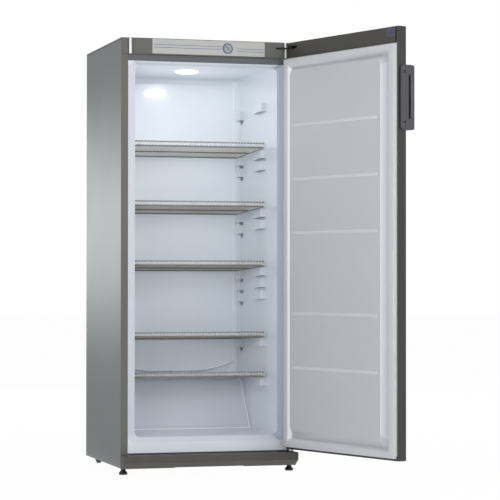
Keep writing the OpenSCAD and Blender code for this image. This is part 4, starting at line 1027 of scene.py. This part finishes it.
def make_condenser_wires():
    """Upright wires before and behind the condenser's tube."""
    low, high = box_of("condenser_wires")
    radius = CONDENSER_WIRE / 2
    step = (high.x - low.x - CONDENSER_WIRE) / (CONDENSER_ROWS - 1)
    meshes = [(wire_rows("condenser_row", [(0, y, low.z), (0, y, high.z)], radius, BLACK_WIRE,
                         CONDENSER_ROWS, (low.x + radius, 0, 0), (step, 0, 0)), 0)
              for y in (low.y + radius, high.y - radius)]
    fit(joined("condenser_wire_rows", meshes, BLACK_WIRE), "cabinet", "condenser_wires",
        stands_for=True)


# Floor and room, in metres

FLOOR_HALF = 30
FLOOR_GREY = (0.9, 0.9, 0.9, 1)
FLOOR_WHITE = 0.975          # share of plain white that the camera sees on the floor
ROOM_COLOUR = (0.93, 0.96, 1, 1)
ROOM_LIGHT = 0.55


def seen_rays(tree):
    """Node with 1 for rays from the camera, glossy or clear surfaces, and 0 for other light."""
    path = tree.nodes.new("ShaderNodeLightPath")
    last, leaving = path, "Is Camera Ray"
    for kind in ("Is Glossy Ray", "Is Transmission Ray"):
        either = tree.nodes.new("ShaderNodeMath")
        either.operation = "MAXIMUM"
        wire_up(tree, (last, leaving, either, 0), (path, kind, either, 1))
        last, leaving = either, "Value"
    return last


def make_floor():
    form = bmesh.new()
    bmesh.ops.create_grid(form, x_segments=1, y_segments=1, size=FLOOR_HALF)
    material = bpy.data.materials.new("white_floor")
    tree, end = empty_tree(material, "ShaderNodeOutputMaterial")
    matt = tree.nodes.new("ShaderNodeBsdfDiffuse")
    matt.inputs["Color"].default_value = FLOOR_GREY
    white = tree.nodes.new("ShaderNodeEmission")
    white.inputs["Strength"].default_value = 1.0
    share = tree.nodes.new("ShaderNodeMath")
    share.operation = "MULTIPLY"
    share.inputs[1].default_value = FLOOR_WHITE
    blend = tree.nodes.new("ShaderNodeMixShader")
    wire_up(tree, (seen_rays(tree), "Value", share, 0), (share, "Value", blend, "Fac"),
            (matt, "BSDF", blend, 1), (white, "Emission", blend, 2),
            (blend, "Shader", end, "Surface"))
    piece_of(form, "studio_floor", material)


def make_world():
    world = bpy.data.worlds.new("studio")
    bpy.context.scene.world = world
    tree, end = empty_tree(world, "ShaderNodeOutputWorld")
    seen = tree.nodes.new("ShaderNodeBackground")
    seen.inputs["Color"].default_value = (1, 1, 1, 1)
    soft = tree.nodes.new("ShaderNodeBackground")
    set_inputs(soft, {"Color": ROOM_COLOUR, "Strength": ROOM_LIGHT})
    choose = tree.nodes.new("ShaderNodeMixShader")
    wire_up(tree, (seen_rays(tree), "Value", choose, "Fac"), (soft, "Background", choose, 1),
            (seen, "Background", choose, 2), (choose, "Shader", end, "Surface"))


CARD_X = (-3.6, -0.34)
CARD_PROFILE = ((-1.6, 0.004), (2.6, 0.004), (2.6, 2.0))
CARD_PEAK_Z = 0.90
CARD_REACH = 0.78
CARD_PEAK = 1.45
CARD_BASE = 0.47


def make_side_card():
    """Glowing card to the left and behind, brightest at mid height, that the side panel mirrors."""
    form = bmesh.new()
    rows = [[form.verts.new((x, y, z)) for x in CARD_X] for y, z in CARD_PROFILE]
    for row, following in zip(rows, rows[1:]):
        form.faces.new((row[0], row[1], following[1], following[0]))
    material = bpy.data.materials.new("card_glow")
    tree, end = empty_tree(material, "ShaderNodeOutputMaterial")
    place = tree.nodes.new("ShaderNodeTexCoord")
    split = tree.nodes.new("ShaderNodeSeparateXYZ")
    away = tree.nodes.new("ShaderNodeMath")
    away.operation = "SUBTRACT"
    away.inputs[1].default_value = CARD_PEAK_Z
    span = tree.nodes.new("ShaderNodeMath")
    span.operation = "ABSOLUTE"
    ramp = tree.nodes.new("ShaderNodeMapRange")
    ramp.interpolation_type = "SMOOTHERSTEP"
    set_inputs(ramp, {"From Min": 0, "From Max": CARD_REACH, "To Min": CARD_PEAK,
                      "To Max": CARD_BASE})
    glow = tree.nodes.new("ShaderNodeEmission")
    wire_up(tree, (place, "Object", split, "Vector"), (split, "Z", away, 0),
            (away, "Value", span, 0), (span, "Value", ramp, "Value"),
            (ramp, "Result", glow, "Strength"), (glow, "Emission", end, "Surface"))
    card = piece_of(form, "side_card", material)
    card.visible_camera = False
    card.visible_diffuse = False
    card.visible_shadow = False


# Lamps, in metres and watts

CENTRE = (0, 0.2, 0.8)
BOXES = (                    # name, place, aim, width, height, power
    ("key_box", (2.6, -5.2, 2.1), (0, 0, 0.8), 1.4, 1.2, 92),
    ("fill_box", (-2.6, -4.6, 1.3), CENTRE, 1.4, 1.4, 44),
    ("left_box", (-3.4, -3.7, 1.3), CENTRE, 1.4, 1.4, 33),
    ("mid_box", (0.6, -5.6, 1.5), CENTRE, 1.2, 1.2, 14),
    ("rear_box", (0.5, 5.2, 2.3), (0, 0.5, 0.7), 1.6, 1.6, 80),
    ("right_box", (4.8, 1.4, 2.0), (0.3, 0.3, 0.7), 1.6, 1.6, 60),
)
SPOT_AT = (-0.5, -5.2, 1.3)
SPOT_AIM = (0, 0.4, 1.08)
SPOT_ANGLE = math.radians(12)
SPOT_RADIUS = 0.3
SPOT_POWER = 165
SPOT_COLOUR = (1, 0.975, 0.94)
SPREAD_DROP = 0.17           # the cabinet lamp's light starts this far under its dome
SPREAD_RADIUS = 0.05
SPREAD_POWER = 0.44
SPREAD_COLOUR = (1, 0.95, 0.89)
GLINT_SHIFT = 0.017          # the lamp that only the rear wall's gloss shows, from the dome
GLINT_DROP = 0.02
GLINT_AIM_Y = 2
GLINT_SIZE = (0.075, 0.018)
GLINT_POWER = 0.2


def new_lamp(kind, name, at, power):
    lamp = bpy.data.objects.new(name, bpy.data.lights.new(name, kind))
    lamp.data.energy = power
    lamp.location = at
    lamp.visible_camera = False
    bpy.context.scene.collection.objects.link(lamp)
    return lamp


def turn_to(lamp, aim):
    lamp.rotation_euler = (Vector(aim) - lamp.location).to_track_quat("-Z", "Y").to_euler()


def soft_box(name, at, aim, width, height, power):
    lamp = new_lamp("AREA", name, at, power)
    lamp.data.shape = "RECTANGLE"
    lamp.data.size = width
    lamp.data.size_y = height
    turn_to(lamp, aim)
    return lamp


def plain_lamp(kind, name, at, power, radius, colour):
    lamp = new_lamp(kind, name, at, power)
    lamp.data.shadow_soft_size = radius
    lamp.data.color = colour
    return lamp


def make_lights():
    """Wide boxes round the object, a soft spot on the upper compartment, and its own lamp."""
    boxes = [soft_box(*row) for row in BOXES]
    spot = plain_lamp("SPOT", "upper_spot", SPOT_AT, SPOT_POWER, SPOT_RADIUS, SPOT_COLOUR)
    spot.data.spot_size = SPOT_ANGLE
    spot.data.spot_blend = 1
    turn_to(spot, SPOT_AIM)
    low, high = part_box("lamp_cover")
    x = (low[0] + high[0]) / 2
    y = (low[1] + high[1]) / 2
    spread = plain_lamp("POINT", "lamp_spread", (x, y, low[2] - SPREAD_DROP), SPREAD_POWER,
                        SPREAD_RADIUS, SPREAD_COLOUR)
    glint_at = (x + GLINT_SHIFT, y, low[2] - GLINT_DROP)
    glint = soft_box("lamp_glint", glint_at, (glint_at[0], GLINT_AIM_Y, glint_at[2]),
                     *GLINT_SIZE, GLINT_POWER)
    glint.visible_diffuse = False
    for lamp in (*boxes, spot, spread):
        lamp.visible_glossy = False


# Camera, in metres and degrees

CAMERA_AT = (-1.8338, -6.7176, 0.6421)
CAMERA_TURN = 16.419
CAMERA_TILT = 0.853
CAMERA_ROLL = 0.044
CAMERA_LENS = 149.57         # lens, sensor in millimetres
CAMERA_SENSOR = 36


def make_camera():
    data = bpy.data.cameras.new("camera")
    data.lens = CAMERA_LENS
    data.sensor_width = CAMERA_SENSOR
    data.clip_end = 100
    camera = bpy.data.objects.new("camera", data)
    bpy.context.scene.collection.objects.link(camera)
    aim = (Matrix.Rotation(math.radians(-CAMERA_TURN), 4, "Z")
           @ Matrix.Rotation(math.radians(90 + CAMERA_TILT), 4, "X")
           @ Matrix.Rotation(math.radians(CAMERA_ROLL), 4, "Z"))
    camera.matrix_world = Matrix.Translation(CAMERA_AT) @ aim
    bpy.context.scene.camera = camera


make_camera()
dress_cabinet()
make_knob()
rounded_copies(TURNING_COPIES)
dress_door()
make_gasket()
for number in range(1, 6):
    make_shelf(number)
make_condenser_wires()
make_liner_beads()
make_ledge_shade_patches()
make_strainer()
make_print()
make_floor()
make_side_card()
make_world()
make_lights()
bpy.context.scene.view_settings.view_transform = "Standard"
